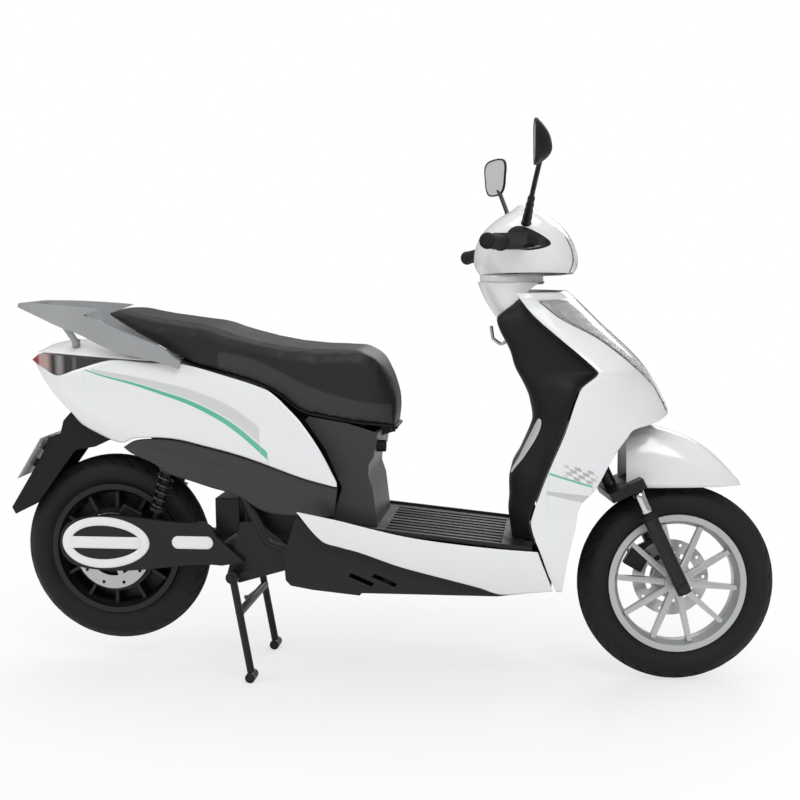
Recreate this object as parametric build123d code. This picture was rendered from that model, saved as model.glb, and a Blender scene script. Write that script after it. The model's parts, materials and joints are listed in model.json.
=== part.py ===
"""Electric motor scooter on its centre stand.

Millimetres. +X points forward, +Y to the rider's left, +Z up. The shapes are laid out
from the rear axle (X = 0) and the ground (Z = 0), on the vehicle's centre plane (Y = 0),
and then moved so that the origin lies on the ground under the middle of the vehicle.
"""
from build123d import *
from math import acos, asin, atan2, cos, degrees, pi, radians, sin, sqrt
import os

# ---------------------------------------------------------------- driving dimensions
WHEELBASE = 1365.0
REAR_LIFT = 60.0            # how far the centre stand holds the rear tyre off the ground
RAKE = 25.0                 # steering axis, degrees from vertical
STEER_ANGLE = 8.7           # the bars are turned this far to the left
AXLE_OFFSET = 42.0          # front axle ahead of the steering axis

TYRE_R = 233.0              # 90/90-12 tyre
TYRE_HALF_W = 45.0
BEAD_R = 155.0
TYRE_WALL = 9.0
RIM_FLANGE_R = 163.0
RIM_HALF_W = 34.0
RIM_WALL = 6.0
AXLE_R = 6.0
REAR_AXLE_R = 8.0
RUN = 0.06                  # radial running clearance on pins and axles
SEAT_GAP = 0.3              # gap between pieces that sit against each other
WALL = 3.0                  # moulded panels
LENS_WALL = 2.5

FLOOR_HALF_W = 172.0
FLOOR_Z = 372.0             # floor height at FLOOR_REF_X
FLOOR_REF_X = 700.0
FLOOR_SLOPE = -0.105
PILLAR_X = 655.0            # front face of the seat pillar at the floor
FORK_SPREAD = 84.0          # fork leg centre from the centre plane
STAND_PIVOT = (321.0, 253.0)
STAND_FOOT_X = 362.0
STAND_SPREAD = 132.0
SEAT_HINGE = (692.0, 598.0)
BAR_R = 11.0
GRIP_R = 16.5

# ---------------------------------------------------------------- geometry helpers
rake = radians(RAKE)
steer = radians(STEER_ANGLE)
AXIS_UP = Vector(-sin(rake), 0, cos(rake))
AXIS_FWD = Vector(cos(rake), 0, sin(rake))
wheel_lean = asin(sin(steer) * sin(rake))
FRONT_AXLE_Z = (
    (TYRE_R - TYRE_HALF_W) * cos(wheel_lean)
    + TYRE_HALF_W
    + AXLE_OFFSET * (1 - cos(steer)) * sin(rake)
)
REAR_AXLE_Z = TYRE_R + REAR_LIFT
FRONT_AXLE = Vector(WHEELBASE, 0, FRONT_AXLE_Z)
STEER_FOOT = FRONT_AXLE - AXIS_FWD * AXLE_OFFSET
STEER_AXIS = Axis(STEER_FOOT, AXIS_UP)
FORK_PLANE = Plane(origin=STEER_FOOT, x_dir=AXIS_FWD, z_dir=AXIS_UP)


def span(low, high, count):
    """count even steps from low to high"""
    return [low + (high - low) * i / (count - 1) for i in range(count)]


def curve(stations, s):
    """Smooth value at s on a curve through (s, value) stations, flat beyond its ends."""
    if s <= stations[0][0]:
        return stations[0][1]
    if s >= stations[-1][0]:
        return stations[-1][1]
    i = max(k for k in range(len(stations) - 1) if stations[k][0] <= s)

    def slope(k):
        a = stations[max(k - 1, 0)]
        b = stations[min(k + 1, len(stations) - 1)]
        return (b[1] - a[1]) / (b[0] - a[0])

    (s0, v0), (s1, v1) = stations[i], stations[i + 1]
    step = s1 - s0
    t = (s - s0) / step
    m0, m1 = slope(i) * step, slope(i + 1) * step
    return (
        (2 * t**3 - 3 * t**2 + 1) * v0
        + (t**3 - 2 * t**2 + t) * m0
        + (3 * t**2 - 2 * t**3) * v1
        + (t**3 - t**2) * m1
    )


def side_face(*runs):
    """Face in the side view. Each run is a list of (x, z): two make a line, more a spline."""
    edges = []
    for run in runs:
        points = [Vector(x, 0, z) for x, z in run]
        edges.append(Edge.make_line(*points) if len(points) == 2 else Edge.make_spline(points))
    return Face(Wire(edges))


def polygon(*points):
    """Straight-sided face in the side view"""
    closed = list(points) + [points[0]]
    return side_face(*[[a, b] for a, b in zip(closed, closed[1:])])


def across(face, y0, y1):
    """Side-view face carried across the vehicle from y0 to y1"""
    return Solid.extrude(face.moved(Location((0, y0, 0))), Vector(0, y1 - y0, 0))


def skin(point_at, us, vs, wall, core_x=None, core_z=None):
    """Moulded wall, lofted through flat sections.

    point_at(u, v) gives the outer face. Each u is one section, level if core_x is given and
    crosswise if core_z is given, and its inner line lies wall nearer to that core line.
    """
    flat = Vector(0, 0, 1) if core_z is None else Vector(1, 0, 0)
    sections = []
    for u in us:
        outer = [Vector(*point_at(u, v)) for v in vs]
        inner = []
        for k, point in enumerate(outer):
            run = outer[min(k + 1, len(outer) - 1)] - outer[max(k - 1, 0)]
            core = Vector(core_x, 0, point.Z) if core_z is None else Vector(point.X, 0, core_z)
            inward = flat.cross(run).normalized()
            inward = inward if inward.dot(core - point) > 0 else inward * -1
            inner.append(point + inward * wall)
        sections.append(Wire([
            Edge.make_spline(outer),
            Edge.make_line(outer[-1], inner[-1]),
            Edge.make_spline(inner[::-1]),
            Edge.make_line(inner[0], outer[0]),
        ]))
    return Solid.make_loft(sections, ruled=True)


def rod(start, end, radius):
    """Round bar between two points"""
    start, end = Vector(*start), Vector(*end)
    run = end - start
    return Solid.make_cylinder(radius, run.length, Plane(origin=start, z_dir=run))


def bent_bar(points, radius, bend):
    """Round bar along straight runs joined by bends"""
    path = FilletPolyline(*[Vector(*p) for p in points], radius=bend)
    start = Plane(origin=path @ 0, z_dir=path % 0)
    return sweep(start * Circle(radius), path=path)


def box_at(x, y, z):
    """Box from (low, high) pairs along each axis"""
    return Solid.make_box(
        x[1] - x[0], y[1] - y[0], z[1] - z[0], Plane(origin=(x[0], y[0], z[0]))
    )


def both_sides(piece):
    """The piece and its mirror image on the other side"""
    return Compound([piece, piece.mirror(Plane.XZ)])


def steered(piece):
    """Turn a piece built straight ahead with the bars"""
    return piece.rotate(STEER_AXIS, STEER_ANGLE)


def fork_at(ahead, left, up):
    """Point in the steering frame: ahead of the axis, to the left, and up along it"""
    return STEER_FOOT + AXIS_FWD * ahead + Vector(0, left, 0) + AXIS_UP * up


def fork_place(piece):
    """Piece drawn in the steering frame, put on the vehicle"""
    return piece.moved(FORK_PLANE.location)


def spin_y(profile, centre):
    """Profile drawn as (radius, y) points, revolved about a crosswise axis through centre"""
    turned = Solid.revolve(profile, 360, Axis((0, 0, 0), (0, 1, 0)))
    return turned.moved(Location(centre))


def wheel_face(*runs):
    """Face for spin_y: each run is two (radius, y) points for a line or three for an arc"""
    edges = []
    for run in runs:
        points = [Vector(r, y, 0) for r, y in run]
        edges.append(Edge.make_line(*points) if len(points) == 2 else Edge.make_three_point_arc(*points))
    return Face(Wire(edges))


# ---------------------------------------------------------------- wheels
def tyre(centre):
    """Hollow tyre: a carcass open towards the rim, with its beads on the rim seat"""
    w, top, wall = TYRE_HALF_W, TYRE_R, TYRE_WALL
    bead, bead_y = BEAD_R + SEAT_GAP, RIM_HALF_W - RIM_WALL - SEAT_GAP
    lip = RIM_FLANGE_R + 0.8
    wide = (bead + top) / 2
    shoulder_r, shoulder_y = top - 22, 0.86 * w
    crown_r, crown_y = shoulder_r - 0.6 * wall, shoulder_y - 0.8 * wall
    return spin_y(wheel_face(
        [(lip, bead_y), (wide, w), (shoulder_r, shoulder_y)],
        [(shoulder_r, shoulder_y), (top, 0), (shoulder_r, -shoulder_y)],
        [(shoulder_r, -shoulder_y), (wide, -w), (lip, -bead_y)],
        [(lip, -bead_y), (bead, -bead_y)],
        [(bead, -bead_y), (bead, wall - bead_y)],
        [(bead, wall - bead_y), (wide, wall - w), (crown_r, -crown_y)],
        [(crown_r, -crown_y), (top - wall, 0), (crown_r, crown_y)],
        [(crown_r, crown_y), (wide, w - wall), (bead, bead_y - wall)],
        [(bead, bead_y - wall), (bead, bead_y)],
        [(bead, bead_y), (lip, bead_y)],
    ), centre)


def rim_barrel(centre):
    """Cast rim: seat for the beads between two flanges, with a drop centre"""
    w, seat, wall = RIM_HALF_W, BEAD_R, RIM_WALL
    points = [
        (RIM_FLANGE_R, w), (RIM_FLANGE_R, w - wall), (seat, w - wall), (seat, 14),
        (seat - 10, 9), (seat - 10, -9), (seat, -14), (seat, -w + wall),
        (RIM_FLANGE_R, -w + wall), (RIM_FLANGE_R, -w), (seat - 6, -w), (seat - 8, -w + 8),
        (seat - 16, -14), (seat - 16, 14), (seat - 8, w - 8), (seat - 6, w),
    ]
    closed = points + [points[0]]
    return spin_y(wheel_face(*[[a, b] for a, b in zip(closed, closed[1:])]), centre)


def disc_y(radius, y0, y1, centre):
    """Round plate or drum on a crosswise axis"""
    return rod((centre[0], y0, centre[2]), (centre[0], y1, centre[2]), radius)


FRONT_SPOKES = 10
FRONT_HUB_R = 30.0
FRONT_HUB_HALF = 34.0


def front_rim(centre):
    """Cast alloy wheel with ten tapered spokes"""
    body = rim_barrel(centre) + disc_y(FRONT_HUB_R, -FRONT_HUB_HALF, FRONT_HUB_HALF, centre)
    body = body + disc_y(46, FRONT_HUB_HALF - 6, FRONT_DISC_Y - 0.1, centre)
    spoke_out = BEAD_R - 12
    for k in range(FRONT_SPOKES):
        angle = 360 * (k + 0.15) / FRONT_SPOKES
        blade = across(
            polygon((20, -8), (spoke_out, -5.5), (spoke_out, 5.5), (20, 8)), -26, -8
        )
        blade = blade.rotate(Axis.Y, angle).moved(Location(centre))
        body = body + blade
    return body - disc_y(AXLE_R + RUN, -RIM_HALF_W - 10, RIM_HALF_W + 20, centre)


MOTOR_R = 104.0
MOTOR_HALF = 40.0
REAR_RIBS = 12


def rear_rim(centre):
    """Hub motor drum joined to its rim by twelve short ribs"""
    body = rim_barrel(centre) + disc_y(MOTOR_R, -MOTOR_HALF, MOTOR_HALF, centre)
    for k in range(REAR_RIBS):
        rib = box_at((MOTOR_R - 4, BEAD_R - 12), (-22, 22), (-4, 4))
        body = body + rib.rotate(Axis.Y, 30 * k + 2).moved(Location(centre))
    body = body + disc_y(44, REAR_DISC_Y + DISC_T + 0.1, -MOTOR_HALF + 1, centre)
    return body - disc_y(REAR_AXLE_R + RUN, -MOTOR_HALF - 25, MOTOR_HALF + 5, centre)


def brake_disc(centre, radius, inner_r, y0, y1, bore):
    """Drilled brake disc with a carrier that fits over the hub's end"""
    disc = disc_y(radius, y0, y1, centre) - disc_y(inner_r, y0 - 1, y1 + 1, centre)
    carrier = disc_y(inner_r - 12, y0, y1, centre)
    for k in range(5):
        arm = box_at((inner_r - 16, inner_r + 4), (y0, y1), (-7, 7))
        carrier = carrier + arm.rotate(Axis.Y, 72 * k).moved(Location(centre))
    disc = disc + carrier - disc_y(bore, y0 - 1, y1 + 1, centre)
    for k in range(10):
        hole = disc_y(4, y0 - 1, y1 + 1, (radius - 12, 0, 0)).rotate(Axis.Y, 36 * k)
        disc = disc - hole.moved(Location(centre))
    return disc


rear_centre = (0, 0, REAR_AXLE_Z)
front_centre = (WHEELBASE, 0, FRONT_AXLE_Z)
REAR_DISC_Y = -MOTOR_HALF - 16
REAR_DISC_R = 95.0
FRONT_DISC_Y = FRONT_HUB_HALF + 14
CALIPER_HALF = 12.0
FRONT_DISC_R = 92.0
DISC_T = 4.0


# ---------------------------------------------------------------- frame
RAIL_Y = 88.0
RAIL_R = 15.0
RAIL_Z = 292.0
GUSSET_Y = 99.0
GUSSET_T = 5.0
SWING_PIVOT = (352.0, 308.0)
CROSS_TUBES = (572.0, 950.0)
CROSS_R = 13.0
LOWER_COVER_BOSS = (338.0, 454.0)
PAN_POSTS = (640.0, 900.0)
PAN_FLOOR_Z = 226.0
HEAD_LOW, HEAD_HIGH = 330.0, 520.0
HEAD_R = 26.0
STEM_R = 15.0


def main_frame():
    """Welded tube frame: head tube, down tube, floor rails, seat rails and pivot plates"""
    head = rod(fork_at(0, 0, HEAD_LOW), fork_at(0, 0, HEAD_HIGH), HEAD_R)
    down_top = fork_at(-12, 0, (HEAD_LOW + HEAD_HIGH) / 2)
    down = bent_bar(
        [down_top, (1075, 0, 420), (1050, 0, RAIL_Z), (985, 0, RAIL_Z)], 20, 45
    )
    frame = head + down
    for side in (-1, 1):
        rail = bent_bar(
            [
                (990, side * 10, RAIL_Z), (960, side * RAIL_Y, RAIL_Z), (520, side * RAIL_Y, RAIL_Z),
                (400, side * RAIL_Y, 330), (330, side * RAIL_Y, 470), (220, side * RAIL_Y, 640),
                (-40, side * 70, 708),
            ],
            RAIL_R, 24,
        )
        frame = frame + rail
        plate = polygon(
            (STAND_PIVOT[0] - 24, STAND_PIVOT[1] - 8), (STAND_PIVOT[0] + 8, STAND_PIVOT[1] - 22),
            (470, RAIL_Z - 20), (470, RAIL_Z + 16), (380, 380), (335, 380),
        )
        inner = side * (GUSSET_Y - GUSSET_T)
        outer = side * GUSSET_Y
        frame = frame + across(plate, inner, outer)
        frame = frame + rod((430, side * RAIL_Y, 318), (430, side * GUSSET_Y, 318), 12)
    for x in CROSS_TUBES:
        frame = frame + rod((x, -RAIL_Y, RAIL_Z), (x, RAIL_Y, RAIL_Z), CROSS_R)
    frame = frame + rod((175, -RAIL_Y, 656), (175, RAIL_Y, 656), 11)
    for side in (-1, 1):
        x, z = SHOCK_HIGH
        frame = frame + across(polygon((x - 14, z - 14), (x + 14, z - 14), (x + 18, 656), (x - 18, 656)), side * 59, side * 66.5)
    for side in (-1, 1):
        x, z = LOWER_COVER_BOSS
        frame = frame + rod((x, side * RAIL_Y, z), (x, side * (tail_side(x, z) - 8 - WALL - 2 * SEAT_GAP), z), 6)
        for x in PAN_POSTS:
            frame = frame + rod((x, side * RAIL_Y, RAIL_Z), (x, side * RAIL_Y, PAN_FLOOR_Z + SEAT_GAP), 7)
        frame = frame + rod((-36, side * 70, 706), (-36, side * 70, 748.6), 6)
        frame = frame + rod((-36, side * 70, 705), (-66, side * 68.8, 625), 8)
    hoop_z = TUB_Z[0] - 9 - SEAT_GAP
    frame = frame + bent_bar(
        [(500, -RAIL_Y, RAIL_Z), (500, -56, hoop_z), (500, 56, hoop_z), (500, RAIL_Y, RAIL_Z)], 9, 20
    )
    column_x, bracket_z = curve(COLUMN_X, 655) + WALL + 3 * SEAT_GAP, 655
    head_x = STEER_FOOT.X - (bracket_z - STEER_FOOT.Z) * sin(rake) / cos(rake)
    frame = frame + rod((column_x, 0, bracket_z), (head_x, 0, bracket_z), 9)
    swing_pin = rod((SWING_PIVOT[0], -GUSSET_Y, SWING_PIVOT[1]), (SWING_PIVOT[0], GUSSET_Y, SWING_PIVOT[1]), 8)
    reach = STAND_SPREAD + 14
    stand_pin = rod((STAND_PIVOT[0], -reach, STAND_PIVOT[1]), (STAND_PIVOT[0], reach, STAND_PIVOT[1]), 6)
    frame = frame + swing_pin + stand_pin
    bore = rod(fork_at(0, 0, HEAD_LOW - 5), fork_at(0, 0, HEAD_HIGH + 5), STEM_R + RUN)
    return frame - bore


# ---------------------------------------------------------------- swingarm, brakes, shocks
ARM_Y = (64.0, 91.0)
SHOCK_Y = 76.0
SHOCK_LOW = (118.0, 371.0)
SHOCK_HIGH = (172.0, 585.0)


def swingarm():
    """Two box arms from the pivot tube to the axle, tied ahead of the tyre"""
    px, pz = SWING_PIVOT
    az = REAR_AXLE_Z
    arm = polygon((px + 16, pz - 18), (px + 16, pz + 16), (120, az + 30), (-26, az + 20), (-26, az - 20), (120, az - 22))
    pieces = across(arm, ARM_Y[0], ARM_Y[1]) + across(arm, -ARM_Y[1], -ARM_Y[0])
    pieces = pieces + rod((290, -ARM_Y[0], 300), (290, ARM_Y[0], 300), 20)
    pieces = pieces + rod((px, -GUSSET_Y + GUSSET_T + 0.5, pz), (px, GUSSET_Y - GUSSET_T - 0.5, pz), 16)
    for side in (-1, 1):
        x, z = SHOCK_LOW
        ear = across(polygon((x - 22, 318), (x - 13, z + 12), (x + 13, z + 12), (x + 22, 318)), side * 59, side * 66.5)
        pieces = pieces + ear
    lug = polygon((12, 316), (80, 316), (70, 362), (54, 378), (36, 378), (20, 362))
    pieces = pieces + across(lug, -ARM_Y[0] - 7, -ARM_Y[0] + 0.6)
    pieces = pieces - rod((px, -120, pz), (px, 120, pz), 8 + RUN)
    return pieces - rod((0, -120, az), (0, 120, az), REAR_AXLE_R + RUN)


def swingarm_cover():
    """Moulded cover over the right arm, with a round end at the wheel"""
    az = REAR_AXLE_Z + 32
    outline = side_face(
        [(-112, az), (-95, az + 42), (-17, az + 66), (110, az + 61), (241, az + 55)],
        [(241, az + 55), (262, az + 46), (277, az + 21)],
        [(277, az + 21), (345, az - 40)],
        [(345, az - 40), (290, az - 50)],
        [(290, az - 50), (114, az - 62), (-24, az - 66), (-92, az - 46), (-112, az)],
    )
    body = across(outline, -GUSSET_Y - 14, -GUSSET_Y - 1)
    for x, z in ((60, REAR_AXLE_Z + 4), (200, REAR_AXLE_Z + 6)):
        body = body + rod((x, -GUSSET_Y - 2, z), (x, -ARM_Y[1] - SEAT_GAP, z), 9)
    return body


def rear_shock(side):
    """Damper with its coil, between the arm and the seat rail"""
    y = side * SHOCK_Y
    low, high = Vector(SHOCK_LOW[0], y, SHOCK_LOW[1]), Vector(SHOCK_HIGH[0], y, SHOCK_HIGH[1])
    run = (high - low).normalized()
    body = rod(low, high, 8)
    body = body + rod(low + run * 24, high - run * 24, 18)
    eye_low = rod((low.X, y - 9, low.Z), (low.X, y + 9, low.Z), 13)
    eye_high = rod((high.X, y - 9, high.Z), (high.X, y + 9, high.Z), 13)
    return body + eye_low + eye_high


# ---------------------------------------------------------------- stand
def centre_stand():
    """Two splayed legs on the frame's pin, a tie tube, a foot lever and two feet"""
    px, pz = STAND_PIVOT
    stand = None
    for side in (-1, 1):
        y = side * STAND_SPREAD
        leg = rod((px, y, pz), (STAND_FOOT_X, y, 12), 9)
        boss = rod((px, y - 10, pz), (px, y + 10, pz), 15)
        foot = rod((STAND_FOOT_X, y - 20, 12), (STAND_FOOT_X, y + 20, 12), 12)
        stand = leg + boss + foot if stand is None else stand + leg + boss + foot
    t = 0.36
    tie_x, tie_z = px + (STAND_FOOT_X - px) * t, pz + (12 - pz) * t
    stand = stand + rod((tie_x, -STAND_SPREAD, tie_z), (tie_x, STAND_SPREAD, tie_z), 10)
    lever_y = STAND_SPREAD
    stand = stand + bent_bar(
        [(tie_x, lever_y, tie_z), (tie_x - 50, lever_y + 12, tie_z - 42), (tie_x - 62, lever_y + 48, tie_z - 48)], 6, 12
    )
    return stand - rod((px, -200, pz), (px, 200, pz), 6 + RUN)


# ---------------------------------------------------------------- tail and side panels
TAIL_HALF_W = [(-205, 24), (-170, 54), (-100, 88), (-20, 108), (80, 124), (200, 136), (330, 144), (450, 151), (600, 168)]
PANEL_MID_Z = [(-205, 735), (-100, 705), (100, 682), (300, 648), (450, 600), (600, 520)]


def tail_side(x, z):
    """Half width of the bodywork behind the rider: widest along a line that falls forward"""
    rise = (z - curve(PANEL_MID_Z, x)) / 90
    return curve(TAIL_HALF_W, x) - 12 * rise**2 / (1 + 0.25 * rise**2)


def tail_wall(side, inset, wall, z_low=380, z_high=840):
    """Wall on one side of the tail, its outer face set in from the body line by inset"""
    xs, zs = span(-215, 640, 13), span(z_low, z_high, 8)
    shell = skin(lambda x, z: (x, max(tail_side(x, z) - inset, 9), z), xs, zs, wall, core_z=600)
    return shell if side > 0 else shell.mirror(Plane.XZ)


SIDE_PANEL_OUTLINE = [
    [(-194, 763), (-120, 726), (-62, 741), (5, 761), (42, 768)],
    [(42, 768), (133, 761), (209, 760), (330, 729), (413, 702), (437, 686)],
    [(437, 686), (460, 665), (496, 628), (543, 561), (583, 481)],
    [(583, 481), (495, 500), (352, 547), (255, 571), (194, 584), (132, 587), (81, 581), (49, 570)],
    [(49, 570), (9, 581)],
    [(9, 581), (-55, 611), (-84, 641), (-142, 696), (-194, 763)],
]


def side_panel(side):
    """White panel from the tail to the footboard"""
    trim = across(side_face(*SIDE_PANEL_OUTLINE), 0, 200)
    trim = trim if side > 0 else trim.mirror(Plane.XZ)
    return tail_wall(side, 0, WALL) & trim


LOWER_COVER_OUTLINE = [
    [(52, 558), (71, 543), (125, 520), (161, 496), (221, 478), (271, 463), (331, 447), (398, 409), (478, 402)],
    [(478, 402), (570, 404)],
    [(570, 404), (581, 474)],
    [(581, 474), (495, 494), (352, 541), (255, 565), (194, 578), (132, 581), (81, 575), (52, 558)],
]


def lower_cover(side):
    trim = across(side_face(*LOWER_COVER_OUTLINE), 0, 200)
    trim = trim if side > 0 else trim.mirror(Plane.XZ)
    return tail_wall(side, 8, WALL) & trim


def plan_prism(half_width, x0, x1, z0, z1, inset=0.0):
    """Solid between both sides of a plan outline"""
    xs = span(x0, x1, 10)
    right = [Vector(x, -(half_width(x) - inset), z0) for x in xs]
    left = [Vector(x, half_width(x) - inset, z0) for x in reversed(xs)]
    edges = [
        Edge.make_spline(right),
        Edge.make_line(right[-1], left[0]),
        Edge.make_spline(left),
        Edge.make_line(left[-1], right[0]),
    ]
    return Solid.extrude(Face(Wire(edges)), Vector(0, 0, z1 - z0))


def tail_lamp():
    """Tail lamp: clear lenses that wrap round the tip of the tail"""
    outline = side_face(
        [(-198, 762.5), (-170, 779)],
        [(-170, 779), (-101, 777), (-23, 772), (40, 768.5)],
        [(40, 768.5), (5, 763), (-62, 743), (-120, 728)],
        [(-120, 728), (-198, 762.5)],
    )
    body = plan_prism(lambda x: tail_side(x, 760), -200, 60, 700, 800, 0.5)
    return body & across(outline, -150, 150)


TAIL_TOP = [(-172, 780), (-150, 793), (-103, 803), (-54, 804), (27, 793), (131, 777), (200, 771)]
TAIL_EDGE = [(-172, 779.5), (-101, 777.5), (-23, 773), (42, 769.5), (131, 765), (200, 767)]


def tail_cover_point(x, v):
    """Top face of the tail cover: v runs from the right edge (-1) to the left edge (1)"""
    top, edge = curve(TAIL_TOP, x), curve(TAIL_EDGE, x)
    return (x, v * (tail_side(x, 765) - 1), edge + SEAT_GAP + WALL + (top - edge) * (1 - v * v))


def tail_cover_z(x, y):
    return tail_cover_point(x, y / (tail_side(x, 765) - 1))[2]


def tail_cover():
    """White top cover between the lamp and the seat"""
    return skin(tail_cover_point, span(-172, 200, 9), span(-1, 1, 9), WALL, core_z=600)


RAIL_FOOT = (-70.0, 64.0)
RAIL_PLAN = [(-215, 62), (-170, 92), (-89, 120), (12, 138), (120, 148), (213, 152)]


def grab_rail():
    """Cast grab rail: a tapered fin on each side of the seat, joined behind it"""
    outline = side_face(
        [(-215, 893), (-213, 900), (-201, 904)],
        [(-201, 904), (-89, 899), (12, 890)],
        [(12, 890), (-23, 877)],
        [(-23, 877), (6, 866)],
        [(6, 866), (69, 841), (142, 813), (178, 796), (194, 782), (213, 770)],
        [(213, 770), (208, 752)],
        [(208, 752), (165, 766), (93, 782), (17, 806), (-34, 830), (-82, 846), (-140, 868), (-215, 893)],
    )
    width = lambda x: curve(RAIL_PLAN, x)
    outer = plan_prism(width, -216, 215, 730, 920)
    inner = plan_prism(width, -190, 230, 720, 930, 15)
    hoop = (outer - inner) & across(outline, -160, 160)
    x, y = RAIL_FOOT
    under = tail_cover_z(x, y) + SEAT_GAP
    for side in (-1, 1):
        foot = rod((x, side * y, under + 4), (x, side * y, under + 22), 10)
        web = rod((x, side * y, under + 14), (x - 6, side * (width(x) - 8), 850), 8)
        hoop = hoop + foot + web
    return hoop


def rear_mudguard():
    """Channel-shaped mudguard behind the rear tyre"""
    outline = polygon(
        (-80, 650), (-112, 616), (-121, 584), (-152, 574), (-161, 550), (-181, 513), (-253, 399),
        (-244, 382), (-180, 418), (-85, 544), (-34, 552), (1, 568), (-52, 606),
    )
    hollow = outline.moved(Location((9, 0, -7)))
    guard = across(outline, -60, 60) - across(hollow, -56, 56)
    plate = plate_plane()
    for up in (PLATE_HOLE_UP - 12, -25):
        seat = plate.origin + plate.y_dir * up - plate.z_dir * (PLATE_T / 2 + SEAT_GAP)
        guard = guard + rod(seat, seat - plate.z_dir * 20, 11)
    return guard


PLATE_W, PLATE_H, PLATE_T = 150.0, 118.0, 2.0
PLATE_HOLE_UP = 35.0
PLATE_HOLE_SPREAD = 50.0


def plate_plane():
    """Plane of the number plate, on the mudguard's rear face, x across and y up the plate"""
    low, high = Vector(-222, 0, 470), Vector(-158, 0, 572)
    along = (high - low).normalized()
    middle = (low + high) * 0.5 + Vector(-8, 0, 3)
    return Plane(origin=middle, x_dir=Vector(0, -1, 0), z_dir=Vector(0, -1, 0).cross(along))


def number_plate():
    """Blank plate with two fixing holes"""
    plate = Solid.make_box(PLATE_W, PLATE_H, PLATE_T, Plane(origin=(-PLATE_W / 2, -PLATE_H / 2, -PLATE_T / 2)))
    for side in (-1, 1):
        plate = plate - Solid.make_cylinder(3, 10, Plane(origin=(side * PLATE_HOLE_SPREAD, PLATE_HOLE_UP, -5)))
    return plate.moved(plate_plane().location)


# ---------------------------------------------------------------- seat and load space
SEAT_TOP = [(15, 884), (46, 883), (96, 872), (171, 860), (221, 853), (271, 845), (320, 829), (369, 815), (418, 804), (468, 796), (517, 791), (590, 789), (629, 787), (650, 781), (670, 768), (686, 748), (698, 724), (710, 695), (717, 660), (716, 640), (709, 606)]
SEAT_BOTTOM = [(15, 876), (207, 772), (328, 737), (411, 710), (446, 689), (492, 655), (539, 642), (585, 632), (630, 623), (665, 618), (709, 608)]
SEAT_HALF_W = [(15, 92), (60, 112), (160, 122), (300, 132), (420, 134), (520, 128), (600, 115), (660, 96), (700, 72), (717, 50)]


def seat_cushion():
    """Padded seat: a plain closed form, stepped up for the pillion"""
    outline = side_face(SEAT_TOP[:13], SEAT_TOP[12:], [SEAT_TOP[-1], SEAT_BOTTOM[-1]], SEAT_BOTTOM[:0:-1], [SEAT_BOTTOM[1], SEAT_BOTTOM[0]], [SEAT_BOTTOM[0], SEAT_TOP[0]])
    body = across(outline, -150, 150)
    plan = plan_prism(lambda x: curve(SEAT_HALF_W, x), 14, 718, 550, 950)
    return body & plan


def seat_base():
    """Seat pan under the cushion, with the hinge ears at its front"""
    hx, hz = SEAT_HINGE
    low = [(x, z - SEAT_GAP) for x, z in SEAT_BOTTOM]
    under = [(x, z - 5) for x, z in SEAT_BOTTOM]
    outline = side_face(low[1:], [low[-1], under[-1]], under[:0:-1], [under[1], low[1]])
    body = across(outline, -150, 150)
    plan = plan_prism(lambda x: curve(SEAT_HALF_W, x) - 8, 200, 709, 550, 950)
    pan = body & plan
    for side in (-1, 1):
        ear = across(polygon((hx - 9, hz - 7), (hx + 9, hz - 7), (hx + 9, hz + 10), (hx - 9, hz + 14)), side * 22, side * 28)
        pan = pan + ear
    return pan - rod((hx, -40, hz), (hx, 40, hz), 4 + RUN)


PORT_FACE_X, PORT_Y, PORT_Z, PORT_R = 683.0, -62.0, 562.0, 14.0
TUB_X = (340.0, 610.0)
TUB_Y = 100.0
TUB_Z = (425.0, 610.0)


def load_tub():
    """Open tub under the seat"""
    top = polygon((TUB_X[0], TUB_Z[0] + 60), (TUB_X[0] + 50, TUB_Z[0]), (TUB_X[1], TUB_Z[0]), (TUB_X[1] + 5, TUB_Z[1]), (TUB_X[1] - 70, TUB_Z[1] + 18), (TUB_X[0] + 120, 655), (TUB_X[0], 690))
    hollow = polygon((TUB_X[0] + 4, TUB_Z[0] + 64), (TUB_X[0] + 53, TUB_Z[0] + 4), (TUB_X[1] - 4, TUB_Z[0] + 4), (TUB_X[1] + 1, TUB_Z[1] + 60), (TUB_X[1] - 70, TUB_Z[1] + 60), (TUB_X[0] + 120, 720), (TUB_X[0] + 4, 760))
    return across(top, -RAIL_Y + RAIL_R + 1, RAIL_Y - RAIL_R - 1) - across(hollow, -RAIL_Y + RAIL_R + 5, RAIL_Y - RAIL_R - 5)


def seat_pillar():
    """Dark moulding that closes the body under the front of the seat, down to the floor"""
    hx, hz = SEAT_HINGE
    outline = polygon(
        (672, 600), (667, 578), (662, 545), (650, 525), (648, 500), (658, 470), (668, floor_z(668) + 4 + SEAT_GAP),
        (560, floor_z(560) + 4 + SEAT_GAP), (586, 470), (548, 560), (500, 630), (510, 638), (600, 622),
    )
    body = across(outline, -118, 118)
    hollow = polygon(
        (668, 640), (663, 578), (658, 547), (646, 527), (644, 500), (654, 470), (664, floor_z(664) - 10),
        (500, floor_z(500) - 10), (500, 640),
    )
    body = body - across(hollow, -114, 114) - rod((640, PORT_Y, PORT_Z), (700, PORT_Y, PORT_Z), PORT_R + SEAT_GAP)
    for side in (-1, 1):
        lug = across(polygon((666, 580), (hx + 7, hz - 7), (hx + 7, hz + 6), (hx - 8, hz + 6), (668, 598)), side * 10, side * 20)
        body = body + lug
    return body + rod((hx, -34, hz), (hx, 34, hz), 4)


# ---------------------------------------------------------------- floor and lower fairings
def floor_z(x):
    return FLOOR_Z + FLOOR_SLOPE * (x - FLOOR_REF_X)


RIB_TOP = 6.5
FLOOR_EDGE = [(488, 424), (589, 402), (729, 370), (890, 349), (1049, 338)]


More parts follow.
